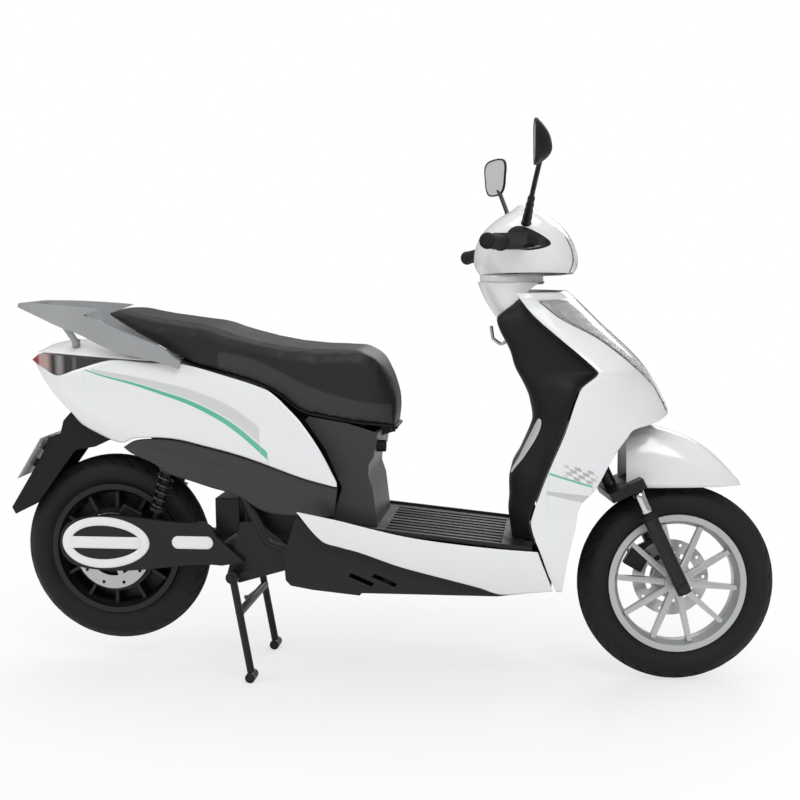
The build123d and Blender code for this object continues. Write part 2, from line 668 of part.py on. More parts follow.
def floorboard():
    """Ribbed footboard with a shallow lip along each side"""
    x0, x1 = 545.0, 1030.0
    outline = polygon((x0, floor_z(x0) + 4), (x1, floor_z(x1) + 4), (x1, floor_z(x1)), (x0, floor_z(x0)))
    board = across(outline, -FLOOR_HALF_W + 12, FLOOR_HALF_W - 12)
    for k in range(9):
        rib_y = -120 + 30 * k
        rib = polygon(
            (690, floor_z(690) + 3), (960, floor_z(960) + 3),
            (960, floor_z(960) + RIB_TOP), (690, floor_z(690) + RIB_TOP),
        )
        board = board + across(rib, rib_y - 4, rib_y + 4)
    for side in (-1, 1):
        lip = polygon((x0, floor_z(x0) + 10), (x1, floor_z(x1) + 10), (x1, floor_z(x1)), (x0, floor_z(x0)))
        board = board + across(lip, side * (FLOOR_HALF_W - 12), side * (FLOOR_HALF_W - WALL - 2.4))
    for x in CROSS_TUBES:
        post = rod((x, 0, RAIL_Z + CROSS_R + SEAT_GAP), (x, 0, floor_z(x) + 1), 12)
        board = board + post
    return board


SKIRT_OUTLINE = [
    [(488, 421), (545, 353), (588, 339)],
    [(588, 339), (634, 327), (727, 295), (843, 265), (911, 247), (957, 232)],
    [(957, 232), (1078, 244)],
    [(1078, 244), (1062, 284), (1044, 338)],
    [(1044, 338), (890, 349), (729, 370), (589, 402), (488, 421)],
]


def side_skirt(side):
    """White panel along the footboard, leaning in towards its lower edge"""
    def point(x, z):
        lean = (curve(FLOOR_EDGE, x) - z) / 110
        return (x, FLOOR_HALF_W - 22 * lean * abs(lean) - 3 * lean, z)
    wall = skin(point, span(480, 1095, 8), span(215, 435, 6), WALL, core_z=300)
    panel = wall & across(side_face(*SKIRT_OUTLINE), 0, 200)
    return panel if side > 0 else panel.mirror(Plane.XZ)


BELLY_HALF_W = 136.0


def belly_pan():
    """Dark tray under the floor with three cooling slots on each side"""
    outline = polygon(
        (478, 400), (446, 310), (450, 249), (462, 236), (515, 227), (627, 216), (632, 222),
        (949, 222), (1075, 238), (1050, 300), (700, 340), (560, 352),
    )
    hollow = polygon(
        (430, 420), (430, 252), (466, 240), (516, 231), (628, 220.5), (633, 226),
        (949, 226), (1080, 242), (1055, 420), (560, 420),
    )
    body = across(outline, -BELLY_HALF_W, BELLY_HALF_W) - across(hollow, -BELLY_HALF_W + 4, BELLY_HALF_W - 4)
    for x in (600, 655):
        slot = polygon((x, 262), (x + 8, 270), (x + 62, 246), (x + 54, 238))
        body = body - across(slot, -BELLY_HALF_W - 1, BELLY_HALF_W + 1)
    return body


def battery_pack():
    """Battery under the footboard, one plain block"""
    return box_at((590, 930), (-RAIL_Y + RAIL_R + SEAT_GAP, RAIL_Y - RAIL_R - SEAT_GAP), (RAIL_Z - 50, RAIL_Z + 48))


# ---------------------------------------------------------------- front fairing
RIM_X = [(240, 1086), (284, 1068), (336, 1050), (366, 1038), (401, 1029), (424, 1033), (472, 1049), (531, 1071), (612, 1104), (692, 1130), (719, 1143), (743, 1172), (753, 1176), (790, 1136), (826, 1092), (873, 1036), (912, 1001), (937, 982)]
RIM_HALF = [(240, 150), (284, 164), (336, 171), (424, 175), (531, 190), (612, 204), (692, 212), (743, 213), (790, 204), (826, 188), (873, 158), (912, 122)]
NOSE_X = [(240, 1343), (639, 1343), (684, 1324), (757, 1277), (850, 1184), (909, 1125), (937, 1090)]


def front_point(t, z, inset=0.0):
    """Front fairing at height z: t runs from the left rim (-1) round the nose (0) to the right rim (1)"""
    rim, nose, half = curve(RIM_X, z), curve(NOSE_X, z) - inset, curve(RIM_HALF, z) - inset
    angle = abs(t) * pi / 2
    x = rim + (nose - rim) * cos(angle) ** 1.15
    y = half * sin(angle) ** 1.1
    return (x, -y if t > 0 else y, z)


ARCH_OUTLINE = [
    [(1343, 640), (1311, 627), (1262, 618)],
    [(1262, 618), (1215, 560), (1172, 480), (1140, 445)],
    [(1140, 445), (1128, 389), (1112, 318), (1101, 252), (1098, 230)],
    [(1098, 230), (1400, 230)],
    [(1400, 230), (1400, 640)],
    [(1400, 640), (1343, 640)],
]


def front_shell(wall):
    ts = [-1, -0.86, -0.68, -0.5, -0.34, -0.18, 0, 0.18, 0.34, 0.5, 0.68, 0.86, 1]
    zs = [240, 290, 350, 430, 530, 620, 680, 720, 743, 770, 800, 850, 890, 924]
    return skin(lambda z, t: front_point(t, z), zs, ts, wall, core_x=1120)


def front_cover():
    """White nose and side fairing: one wall round the front, open over the wheel"""
    shell = front_shell(WALL)
    return shell - across(side_face(*ARCH_OUTLINE), -220, 220)


LAMP_INNER_Y = 26.0
LAMP_LOW_EDGE = [(645, 1339), (686, 1319), (743, 1272), (818, 1181), (868, 1092), (900, 1050), (915, 1030)]


def front_lamps():
    """Slim clear lamp covers that follow the nose, one on each side"""
    proud = SEAT_GAP + LENS_WALL
    lamps = []
    for side in (-1, 1):
        def point(z, s):
            rim, nose, half = curve(RIM_X, z), curve(NOSE_X, z), curve(RIM_HALF, z)
            x_low = curve(LAMP_LOW_EDGE, z)
            low = acos(min(((x_low - rim) / (nose - rim)) ** (1 / 1.15), 1)) / (pi / 2)
            high = asin((LAMP_INNER_Y / half) ** (1 / 1.1)) / (pi / 2)
            low = max(low, high + 0.06)
            return front_point(side * (high + (low - high) * s), z, -2.7 * proud)
        lamps.append(skin(point, span(648, 908, 11), span(0, 1, 5), LENS_WALL, core_x=1120))
    return Compound(lamps)


COLUMN_X = [
    (340, 985), (416, 975), (449, 977), (506, 979), (546, 1000), (625, 1030), (681, 1024), (712, 1012),
    (752, 991), (788, 980), (866, 948), (905, 985),
]


def shield_point(z, t):
    """Rider's side of the legshield: t runs from the right edge (-1) to the left edge (1)"""
    rim, half, back = curve(RIM_X, z), curve(RIM_HALF, z), curve(COLUMN_X, z)
    blend = 0.5 - 0.5 * cos(pi * min(max((abs(t) - 0.35) / 0.6, 0), 1))
    return (back + (rim - 4 - back) * blend, (half - WALL - 3.5) * t, z)


def inner_legshield():
    """Black shield facing the rider: a broad centre column between two wings"""
    zs = [floor_z(985) + 12, 420, 500, 550, 625, 690, 752, 820, 866, 905]
    shell = skin(shield_point, zs, span(-1, 1, 9), WALL, core_x=1400)
    return shell - across(polygon((900, 822), (1060, 962), (1060, 1060), (900, 1060)), -150, 150)


def neck_cover():
    """White cover round the steering column, between the shield and the bars"""
    rings = []
    for z, x0, x1, half in ((860, 946, 1062, 70), (900, 920, 1060, 78), (930, 906, 1056, 82), (946, 900, 1054, 82)):
        rings.append((z, x0, x1, half))
    def wire(z, x0, x1, half):
        return Wire(Edge.make_spline([Vector((x0 + x1) / 2 + (x1 - x0) / 2 * cos(a), half * sin(a), z) for a in span(0, 2 * pi, 13)[:-1]], periodic=True))
    outer = Solid.make_loft([wire(*r) for r in rings], ruled=True)
    inner = Solid.make_loft([wire(z, x0 + WALL, x1 - WALL, half - WALL) for z, x0, x1, half in [(rings[0][0] - 1,) + rings[0][1:]] + rings[1:-1] + [(rings[-1][0] + 1,) + rings[-1][1:]]], ruled=True)
    under = polygon((900, 822.8), (1060, 962.8), (1060, 840), (900, 800))
    cover = outer - inner - across(under, -150, 150)
    return max(cover.solids(), key=lambda solid: solid.volume)


# ---------------------------------------------------------------- steering
YOKE_UP = 262.0
BAR_UP = 905.0


def yoke(grow=0.0):
    """Lower yoke plate across both fork legs"""
    half_y, low, deep = FORK_SPREAD + 20 + grow, -22 - grow, AXLE_OFFSET + 44 + 2 * grow
    plate = Solid.make_box(deep, 2 * half_y, 24 + 2 * grow, Plane(origin=(low, -half_y, YOKE_UP - 12 - grow)))
    return fork_place(plate)


def steering_stem():
    """Stem through the head tube, with the lower yoke that holds the fork legs"""
    stem = rod(fork_at(0, 0, YOKE_UP), fork_at(0, 0, BAR_UP - BAR_R - SEAT_GAP), STEM_R)
    return stem + yoke()


def fork_legs():
    """Two telescopic legs in black sliders, with the front axle through their feet"""
    legs = front_axle()
    for side in (-1, 1):
        y = side * FORK_SPREAD
        slider = Solid.make_cylinder(17, 205, Plane(origin=(AXLE_OFFSET, y, -14)))
        tube = Solid.make_cylinder(13, 70, Plane(origin=(AXLE_OFFSET, y, 180)))
        legs = legs + fork_place(slider + tube)
    lug_y = FRONT_DISC_Y + DISC_T / 2 + CALIPER_HALF + SEAT_GAP
    lug = Solid.make_box(62, FORK_SPREAD - 10 - lug_y, 52, Plane(origin=(-24, lug_y, 48)))
    return legs + fork_place(lug)


def front_fender():
    """Beaked front mudguard that turns with the wheel"""
    top = [(1236, 600), (1281, 612), (1325, 601), (1372, 587), (1418, 564), (1453, 538), (1488, 503), (1511, 475), (1517, 462)]
    half = [(1236, 60), (1300, 68), (1400, 66), (1460, 56), (1500, 36), (1517, 20)]
    def point(x, v):
        angle = pi * v
        low = 474
        return (x, curve(half, x) * cos(angle), low - 10 + (curve(top, x) - low + 10) * sin(angle) ** 0.7)
    shell = skin(point, span(1238, 1516, 10), span(0, 1, 11), WALL, core_z=464)
    return shell - yoke(0.6)


BAR_POINTS = [(0, 110, 0), (-6, 200, -10), (-52, 350, -16)]


def bar_at(point, side):
    """Point on the bar's centre line, given from the clamp as (ahead, outward, up)"""
    clamp = fork_at(0, 0, BAR_UP)
    return Vector(clamp.X + point[0], side * point[1], clamp.Z + point[2])


def handlebar():
    """Bent tube clamped to the top of the stem, with an arm for each mirror"""
    left = [bar_at(p, 1) for p in BAR_POINTS[::-1]]
    right = [bar_at(p, -1) for p in BAR_POINTS]
    bar = bent_bar(left + right, BAR_R, 30)
    for side in (-1, 1):
        bar = bar + rod(bar_at((0, 98, 0), side), mirror_base(side), 7)
    return bar


def hand_grips():
    """Rubber grips pushed over the ends of the bar"""
    grips = []
    for side in (-1, 1):
        bend, end = bar_at(BAR_POINTS[1], side), bar_at(BAR_POINTS[2], side)
        run = (end - bend).normalized()
        grip = rod(bend + run * 18, end + run * 6, GRIP_R)
        grips.append(grip - rod(bend, end + run * 1, BAR_R + 0.15))
    return Compound(grips)


def cowl_ring(z, inset=0.0):
    stations_front = [(957, 1118), (985, 1132), (1023, 1125), (1060, 1104), (1090, 1072), (1112, 1034), (1128, 1020)]
    stations_back = [(957, 905), (985, 890), (1025, 893), (1060, 910), (1090, 942), (1112, 978), (1128, 998)]
    stations_half = [(957, 108), (985, 126), (1025, 146), (1060, 142), (1090, 110), (1112, 66), (1128, 28)]
    x0, x1, half = curve(stations_back, z) + inset, curve(stations_front, z) - inset, curve(stations_half, z) - inset
    return Wire(Edge.make_spline([Vector((x0 + x1) / 2 + (x1 - x0) / 2 * cos(a), half * sin(a), z) for a in span(0, 2 * pi, 17)[:-1]], periodic=True))


def cowl_shell():
    """Hollow shell round the middle of the bars, open underneath"""
    outer = Solid.make_loft([cowl_ring(z) for z in (962, 985, 1010, 1035, 1060, 1085, 1105, 1122)], ruled=True)
    inner = Solid.make_loft([cowl_ring(z, WALL) for z in (961, 985, 1010, 1035, 1060, 1085, 1105, 1116)], ruled=True)
    return outer - inner


def lens_prism(grow=0.0):
    """Side-view outline of the headlamp, carried across the front of the cowl"""
    edge = [(1104, 960), (1112, 990), (1104, 1022), (1082, 1056), (1046, 1086), (1018, 1104)]
    outline = side_face(
        [(x - grow, z) for x, z in edge],
        [(edge[-1][0] - grow, edge[-1][1]), (1150, 1180)],
        [(1150, 1180), (1180, 960)],
        [(1180, 960), (edge[0][0] - grow, edge[0][1])],
    )
    return across(outline, -110, 110)


def handlebar_cowl():
    """White cowl with an opening for the bar on each side"""
    cowl = cowl_shell() - lens_prism(SEAT_GAP)
    window = side_face([(925, 1037), (960, 1058), (1000, 1058), (1050, 1027)], [(1050, 1027), (1000, 1009), (960, 1010), (925, 1037)])
    cowl = cowl - across(window, -170, -100) - across(window, 100, 170)
    for side in (-1, 1):
        cowl = cowl - rod(mirror_base(side), mirror_top(side), 6.5)
    return cowl


# How far out each mirror head is, which no side view shows: chosen so that the box round the
# vehicle, with its bars turned, has its middle on the centre plane
MIRROR_OUT = {-1: 330.9, 1: 305.1}


def mirror_base(side):
    return Vector(996, side * 104, 1052)


def mirror_top(side):
    return Vector(981, side * (MIRROR_OUT[side] - 34), 1180)


def mirrors():
    """Mirror heads on their stalks"""
    pieces = []
    for side in (-1, 1):
        run = (mirror_top(side) - mirror_base(side)).normalized()
        stalk = rod(mirror_base(side) + run * 7.5, mirror_top(side), 6)
        head = Solid.make_box(14, 130, 100, Plane(origin=(-7, -65, -50)))
        head = head.rotate(Axis.Z, side * 22).moved(Location((968, side * MIRROR_OUT[side], 1222)))
        pieces.append(stalk + head)
    return Compound(pieces)


# ---------------------------------------------------------------- small parts
def rear_axle():
    """Axle through both arms, with a nut on each end"""
    az = REAR_AXLE_Z
    body = rod((0, -ARM_Y[1] - 7, az), (0, ARM_Y[1] + 7, az), REAR_AXLE_R)
    for side in (-1, 1):
        nut = rod((0, side * (ARM_Y[1] + SEAT_GAP), az), (0, side * (ARM_Y[1] + 7), az), 13)
        body = body + nut
    return body


def front_axle():
    """Axle with its nuts, and a spacer on each side of the hub"""
    y = FORK_SPREAD + 26
    x, z = WHEELBASE, FRONT_AXLE_Z
    body = rod((x, -y, z), (x, y, z), AXLE_R)
    for side, hub_end in ((-1, FRONT_HUB_HALF), (1, FRONT_DISC_Y + DISC_T)):
        body = body + rod((x, side * (FORK_SPREAD + 16), z), (x, side * y, z), 11)
        body = body + rod((x, side * (FORK_SPREAD - 16), z), (x, side * (hub_end + SEAT_GAP), z), 12)
    return body


def caliper(centre, reach, angle, y_mid, half):
    """Brake caliper straddling the disc rim, reach out from the wheel centre at angle"""
    block = box_at((reach - 22, reach + 26), (y_mid - half, y_mid + half), (-26, 26))
    slot = box_at((reach - 24, reach + 8), (y_mid - DISC_T / 2 - 1.5, y_mid + DISC_T / 2 + 1.5), (-30, 30))
    return (block - slot).rotate(Axis.Y, angle).moved(Location(centre))


def front_caliper():
    """Caliper on the rear of the left fork leg"""
    return caliper(front_centre, FRONT_DISC_R, -150, FRONT_DISC_Y + DISC_T / 2, CALIPER_HALF)


def rear_caliper():
    return caliper(rear_centre, REAR_DISC_R, -62, REAR_DISC_Y + DISC_T / 2, 9)


def rear_shocks():
    return Compound([rear_shock(-1), rear_shock(1)])


def bag_hook():
    """Folding hook on the front of the column"""
    path = [(965, 0, 806), (952, 0, 797), (933, 0, 812), (929, 0, 842)]
    return bent_bar(path, 4, 10)


def charging_port():
    """Charging inlet on the front of the seat pillar"""
    body = rod((PORT_FACE_X - 22, PORT_Y, PORT_Z), (PORT_FACE_X, PORT_Y, PORT_Z), PORT_R)
    return body - rod((PORT_FACE_X - 10, PORT_Y, PORT_Z), (PORT_FACE_X + 1, PORT_Y, PORT_Z), PORT_R - 4)


def front_disc():
    return brake_disc(front_centre, FRONT_DISC_R, 62, FRONT_DISC_Y, FRONT_DISC_Y + DISC_T, AXLE_R + 8)


def rear_disc():
    return brake_disc(rear_centre, REAR_DISC_R, 62, REAR_DISC_Y, REAR_DISC_Y + DISC_T, REAR_AXLE_R + 4)


def headlamp_lens():
    return cowl_shell() & lens_prism()


def mirror_glasses():
    pieces = []
    for side in (-1, 1):
        glass = Solid.make_box(2, 118, 88, Plane(origin=(-9 - SEAT_GAP, -59, -44)))
        pieces.append(glass.rotate(Axis.Z, side * 22).moved(Location((968, side * MIRROR_OUT[side], 1222))))
    return Compound(pieces)


LEVER_PLAN = [(38, 163), (58, 176), (73, 222), (67, 332), (57, 332), (61, 226), (46, 190), (34, 180)]


def brake_levers():
    """Flat lever blade with a round end, and its perch and switch housing beside each grip"""
    centre = fork_at(0, 0, BAR_UP)
    pieces = []
    for side in (-1, 1):
        plan = [Vector(centre.X + x, side * y, centre.Z - 22) for x, y in LEVER_PLAN]
        edges = [Edge.make_line(a, b) for a, b in zip(plan, plan[1:] + plan[:1])]
        blade = Solid.extrude(Face(Wire(edges)), Vector(0, 0, 9))
        end = rod((centre.X + 62, side * 331, centre.Z - 25), (centre.X + 62, side * 331, centre.Z - 10), 8)
        y0, y1 = sorted((side * 160, side * 186))
        perch = box_at((centre.X - 25, centre.X + 50), (y0, y1), (centre.Z - 24, centre.Z + 12))
        tunnel = rod((centre.X - 6, side * 150, centre.Z - 5), (centre.X - 6, side * 210, centre.Z - 10), BAR_R + 3)
        pieces.append(perch - tunnel + blade + end)
    return Compound(pieces)


# ---------------------------------------------------------------- export
tail_end = -253.0
front_end = STEER_FOOT.X + AXLE_OFFSET * cos(rake) * cos(steer) + TYRE_R * cos(steer)
MIDDLE = Location((-(tail_end + front_end) / 2, 0, 0))

os.makedirs("parts", exist_ok=True)


def write(name, piece):
    """One STEP file for the piece, moved to the vehicle's origin"""
    export_step(piece.moved(MIDDLE), f"parts/{name}.step")


for make in (
    main_frame, swingarm, swingarm_cover, rear_axle, rear_caliper, rear_shocks, centre_stand, tail_lamp,
    tail_cover, grab_rail, rear_mudguard, number_plate, seat_cushion, seat_base, load_tub, seat_pillar,
    charging_port, floorboard, belly_pan, battery_pack, front_cover, front_lamps, inner_legshield,
    neck_cover, bag_hook,
):
    write(make.__name__, make())

write("rear_tyre", tyre(rear_centre))
write("rear_hub_motor", rear_rim(rear_centre))
write("rear_brake_disc", rear_disc())

write("side_panels", Compound([side_panel(-1), side_panel(1)]))
write("lower_covers", Compound([lower_cover(-1), lower_cover(1)]))
write("side_skirts", Compound([side_skirt(-1), side_skirt(1)]))

for make in (
    steering_stem, fork_legs, front_caliper, front_fender, handlebar, hand_grips,
    brake_levers, handlebar_cowl, headlamp_lens, mirrors, mirror_glasses,
):
    write(make.__name__, steered(make()))

write("front_tyre", steered(tyre(front_centre)))
write("front_wheel_rim", steered(front_rim(front_centre)))
write("front_brake_disc", steered(front_disc()))
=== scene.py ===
import bmesh
import bpy
import json
import numpy as np
from mathutils import Matrix, Vector


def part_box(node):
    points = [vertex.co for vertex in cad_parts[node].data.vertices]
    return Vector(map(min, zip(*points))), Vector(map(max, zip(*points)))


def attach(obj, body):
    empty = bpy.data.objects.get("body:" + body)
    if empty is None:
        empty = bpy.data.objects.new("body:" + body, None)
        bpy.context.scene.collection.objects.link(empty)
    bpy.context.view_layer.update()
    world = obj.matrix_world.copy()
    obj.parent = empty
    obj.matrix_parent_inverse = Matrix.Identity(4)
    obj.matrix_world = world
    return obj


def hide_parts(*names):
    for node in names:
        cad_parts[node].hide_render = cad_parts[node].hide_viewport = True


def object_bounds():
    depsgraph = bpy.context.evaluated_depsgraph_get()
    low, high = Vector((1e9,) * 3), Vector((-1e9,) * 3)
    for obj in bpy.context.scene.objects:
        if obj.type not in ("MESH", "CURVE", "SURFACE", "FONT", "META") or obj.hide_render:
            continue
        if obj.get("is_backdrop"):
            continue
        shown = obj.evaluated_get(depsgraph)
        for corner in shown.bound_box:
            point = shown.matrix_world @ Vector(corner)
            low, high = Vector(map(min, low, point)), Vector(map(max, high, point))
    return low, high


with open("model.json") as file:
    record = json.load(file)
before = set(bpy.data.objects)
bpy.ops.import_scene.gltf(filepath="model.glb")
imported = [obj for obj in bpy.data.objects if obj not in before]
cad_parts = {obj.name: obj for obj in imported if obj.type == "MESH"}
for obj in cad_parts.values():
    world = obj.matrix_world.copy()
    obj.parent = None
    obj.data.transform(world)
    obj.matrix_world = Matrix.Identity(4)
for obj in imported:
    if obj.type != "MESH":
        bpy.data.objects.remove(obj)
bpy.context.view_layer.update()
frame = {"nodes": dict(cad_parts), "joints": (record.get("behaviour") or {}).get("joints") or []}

# ------------------------------------------------------------------ main frame
# A frame of bent steel tube, welded at the head tube and the pivot plates, with pins for the
# swingarm and the stand. It is shot-blasted and powder coated black, like the small brackets.
middle = sum(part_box("rear_axle"), Vector()) / 2


def place(x, y, z):
    """Millimetres from the rear axle (ahead, left, up from the ground) to metres in the shared frame"""
    x, y, z = np.broadcast_arrays(x, y, z)
    return np.stack([x / 1000 + middle.x, y / 1000, z / 1000], axis=-1)


def finish(name, colour, rough, metal=0.0, coat=0.0, grain=900.0, bump=0.05, mottle=0.06, sheen=0.0,
        spec=0.5):
    """Opaque finish: a fine grain that lifts the surface, and a slow drift in colour and gloss"""
    m = bpy.data.materials.new(name)
    m.use_nodes = True
    nodes, links = m.node_tree.nodes, m.node_tree.links
    shader = nodes["Principled BSDF"]
    shader.inputs["Metallic"].default_value = metal
    shader.inputs["Coat Weight"].default_value = coat
    shader.inputs["Coat Roughness"].default_value = 0.08
    shader.inputs["Sheen Weight"].default_value = sheen
    shader.inputs["Specular IOR Level"].default_value = spec
    coords = nodes.new("ShaderNodeTexCoord")
    fine, slow = nodes.new("ShaderNodeTexNoise"), nodes.new("ShaderNodeTexNoise")
    for tex, scale, detail in ((fine, grain, 3.0), (slow, 9.0, 4.0)):
        tex.inputs["Scale"].default_value = scale
        tex.inputs["Detail"].default_value = detail
        links.new(coords.outputs["Object"], tex.inputs["Vector"])
    tint = nodes.new("ShaderNodeMix")
    tint.data_type = "RGBA"
    tint.inputs["A"].default_value = (*[c * (1 - mottle) for c in colour], 1)
    tint.inputs["B"].default_value = (*[min(c * (1 + mottle), 1) for c in colour], 1)
    links.new(slow.outputs["Fac"], tint.inputs["Factor"])
    links.new(tint.outputs["Result"], shader.inputs["Base Color"])
    gloss = nodes.new("ShaderNodeMapRange")
    gloss.inputs["To Min"].default_value = max(rough * 0.82, 0.02)
    gloss.inputs["To Max"].default_value = min(rough * 1.18, 1)
    links.new(slow.outputs["Fac"], gloss.inputs["Value"])
    links.new(gloss.outputs["Result"], shader.inputs["Roughness"])
    relief = nodes.new("ShaderNodeBump")
    relief.inputs["Strength"].default_value = bump
    relief.inputs["Distance"].default_value = 0.0006
    links.new(fine.outputs["Fac"], relief.inputs["Height"])
    links.new(relief.outputs["Normal"], shader.inputs["Normal"])
    return m


def settle(piece, body, slot, *nodes):
    """The piece moves with its body and stands for its CAD nodes, which are hidden; the slot is not used"""
    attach(piece, body)
    if nodes:
        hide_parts(*nodes)
    return piece


def soften(piece, width=0.0012, angle=0.55):
    """Small moulded radius on every sharp edge of the piece"""
    bevel = piece.modifiers.new("edges", "BEVEL")
    bevel.width = width
    bevel.segments = 2
    bevel.limit_method = "ANGLE"
    bevel.angle_limit = angle
    bevel.use_clamp_overlap = True
    return piece


def smooth_by_angle(mesh, angle=0.55):
    """Smooth shading, with a hard line where two faces meet at more than the angle"""
    mesh.shade_smooth()
    mesh.set_sharp_from_angle(angle=angle)


def from_node(name, node, body, slot, material, edge=0.0012):
    """Merged copy of a CAD node with its edges softened"""
    mesh = frame["nodes"][node].data.copy()
    mesh.materials.clear()
    mesh.materials.append(material)
    bm = bmesh.new()
    bm.from_mesh(mesh)
    bmesh.ops.remove_doubles(bm, verts=bm.verts, dist=0.00001)
    bmesh.ops.dissolve_limit(bm, angle_limit=0.01, verts=bm.verts, edges=bm.edges)
    bm.to_mesh(mesh)
    bm.free()
    smooth_by_angle(mesh)
    piece = bpy.data.objects.new(name, mesh)
    bpy.context.scene.collection.objects.link(piece)
    if edge:
        soften(piece, edge)
    return settle(piece, body, slot, node)


black_steel = finish("powder_coated_steel", (0.007, 0.007, 0.0075), 0.4, grain=1400, bump=0.12, spec=0.35)
from_node("frame_tubes", "main_frame", "chassis", "black_steel", black_steel, 0.0015)
battery_finish = finish("battery_case", (0.02, 0.021, 0.023), 0.5, grain=700, bump=0.1)
from_node("battery_block", "battery_pack", "chassis", "battery_case", battery_finish, 0.004)

# ------------------------------------------------------------------ swingarm and rear dampers
# The arm is two pressed steel boxes joined by tubes. A moulded cover bolts to its right side.
# Each damper is a rod in a cylinder, inside a wound steel spring held between two cups.
from_node("arm", "swingarm", "chassis", "black_steel", black_steel, 0.002)
black_plastic = finish("grained_black_moulding", (0.006, 0.006, 0.0065), 0.5, grain=1500, bump=0.3,
    spec=0.28, mottle=0.15)
dark_plastic = finish("satin_charcoal_moulding", (0.034, 0.0345, 0.036), 0.42, grain=1300, bump=0.22,
    spec=0.4, mottle=0.1)
cover_black = finish("satin_black_moulding", (0.012, 0.012, 0.0125), 0.4, grain=1400, bump=0.15, spec=0.3,
    mottle=0.12)
bright_steel = finish("zinc_plated_steel", (0.6, 0.6, 0.6), 0.3, metal=1.0, grain=500, bump=0.05)
from_node("arm_cover", "swingarm_cover", "chassis", "dark_plastic", cover_black, 0.004)
from_node("rear_spindle", "rear_axle", "chassis", "bright_steel", bright_steel, 0.001)
cast_black = finish("painted_cast_alloy", (0.009, 0.009, 0.0095), 0.4, grain=600, bump=0.25, spec=0.4)
from_node("rear_brake_body", "rear_caliper", "chassis", "black_alloy", cast_black, 0.002)


def grid_mesh(name, points, close_u=False, close_v=False, keep=None, uv=None):
    """Quads through an (rows, columns, 3) array of points, joined round where a direction is closed"""
    rows, cols = points.shape[:2]
    i, j = np.meshgrid(np.arange(rows - (not close_u)), np.arange(cols - (not close_v)), indexing="ij")
    i, j = i.ravel(), j.ravel()
    if keep is not None:
        i, j = i[keep(i, j)], j[keep(i, j)]
    quads = np.stack([i * cols + j, i * cols + (j + 1) % cols, (i + 1) % rows * cols + (j + 1) % cols,
        (i + 1) % rows * cols + j], 1)
    mesh = bpy.data.meshes.new(name)
    mesh.vertices.add(rows * cols)
    mesh.vertices.foreach_set("co", points.reshape(-1).astype(np.float32))
    mesh.loops.add(quads.size)
    mesh.loops.foreach_set("vertex_index", quads.reshape(-1).astype(np.int32))
    mesh.polygons.add(len(quads))
    mesh.polygons.foreach_set("loop_start", np.arange(0, quads.size, 4, dtype=np.int32))
    mesh.update(calc_edges=True)
    mesh.validate()
    mesh.shade_smooth()
    return mesh


def outward(mesh, merge=0.00002):
    """Doubles merged and faces turned outwards"""
    bm = bmesh.new()
    bm.from_mesh(mesh)
    bmesh.ops.remove_doubles(bm, verts=bm.verts, dist=merge)
    bmesh.ops.recalc_face_normals(bm, faces=bm.faces)
    loose = [v for v in bm.verts if not v.link_faces]
    bmesh.ops.delete(bm, geom=loose, context="VERTS")
    bm.to_mesh(mesh)
    bm.free()
    return mesh


def new_piece(name, mesh, material):
    mesh.materials.append(material)
    piece = bpy.data.objects.new(name, mesh)
    bpy.context.scene.collection.objects.link(piece)
    return piece


def joined(name, meshes):
    """Several meshes made one"""
    bm = bmesh.new()
    for mesh in meshes:
        bm.from_mesh(mesh)
    whole = bpy.data.meshes.new(name)
    bm.to_mesh(whole)
    bm.free()
    whole.shade_smooth()
    return whole


def tube(name, path, radius, sides=16, closed=False):
    """Round bar of the given radius carried along a path of points, with closed ends"""
    path = np.asarray(path, float)
    ahead = np.gradient(path, axis=0)
    if closed:
        ahead = np.roll(path, -1, 0) - np.roll(path, 1, 0)
    ahead /= np.linalg.norm(ahead, axis=1, keepdims=True)
    side = np.cross(ahead, [0.13, 0.21, 0.97])
    side /= np.linalg.norm(side, axis=1, keepdims=True)
    up = np.cross(side, ahead)
    radius = np.broadcast_to(radius, len(path))
    if not closed:
        path = np.concatenate([path[:1], path, path[-1:]])
        side, up = np.concatenate([side[:1], side, side[-1:]]), np.concatenate([up[:1], up, up[-1:]])
        radius = np.concatenate([[0.00001], radius, [0.00001]])
    a = np.linspace(0, 2 * np.pi, sides, endpoint=False)
    ring = side[:, None] * np.cos(a)[None, :, None] + up[:, None] * np.sin(a)[None, :, None]
    return outward(grid_mesh(name, path[:, None] + ring * radius[:, None, None], close_u=closed,
        close_v=True))


shock_low, shock_high, shock_side = (118.0, 371.0), (172.0, 585.0), 76.0
spring_meshes, damper_meshes = [], []
for side in (-1, 1):
    low, high = place(shock_low[0], side * shock_side, shock_low[1]), place(shock_high[0],
        side * shock_side, shock_high[1])
    run = (high - low) / np.linalg.norm(high - low)
    across = np.array([0.0, 1.0, 0.0])
    forward = np.cross(across, run)
    s = np.linspace(0, 1, 180)
    turn = 2 * np.pi * 8.5 * s
    coil = (low + run * (0.034 + s[:, None] * 0.150) + 0.0175
        * (np.cos(turn)[:, None] * across + np.sin(turn)[:, None] * forward))
    spring_meshes.append(tube("coil", coil, 0.0032, 10))
    steps = np.array([0, .002, .002, .03, .03, .038, .038, .1, .1, .181, .181, .19, .19, .2145])
    girth = np.array([.011, .012, .009, .009, .022, .022, .011, .011, .0085, .0085, .022, .022, .01, .01])
    damper_meshes.append(tube("damper", low + run * (steps[:, None] + np.arange(14)[:, None] * 1e-6), girth,
        24))
    for eye in (low, high):
        damper_meshes.append(tube("eye", eye + across * np.linspace(-0.009, 0.009, 3)[:, None], 0.0125, 24))
damper = new_piece("damper_bodies", joined("damper_bodies", damper_meshes), black_steel)
smooth_by_angle(damper.data)
settle(damper, "chassis", "black_steel", "rear_shocks")
spring_paint = finish("spring_enamel", (0.012, 0.012, 0.013), 0.3, coat=0.2, grain=700, bump=0.05)
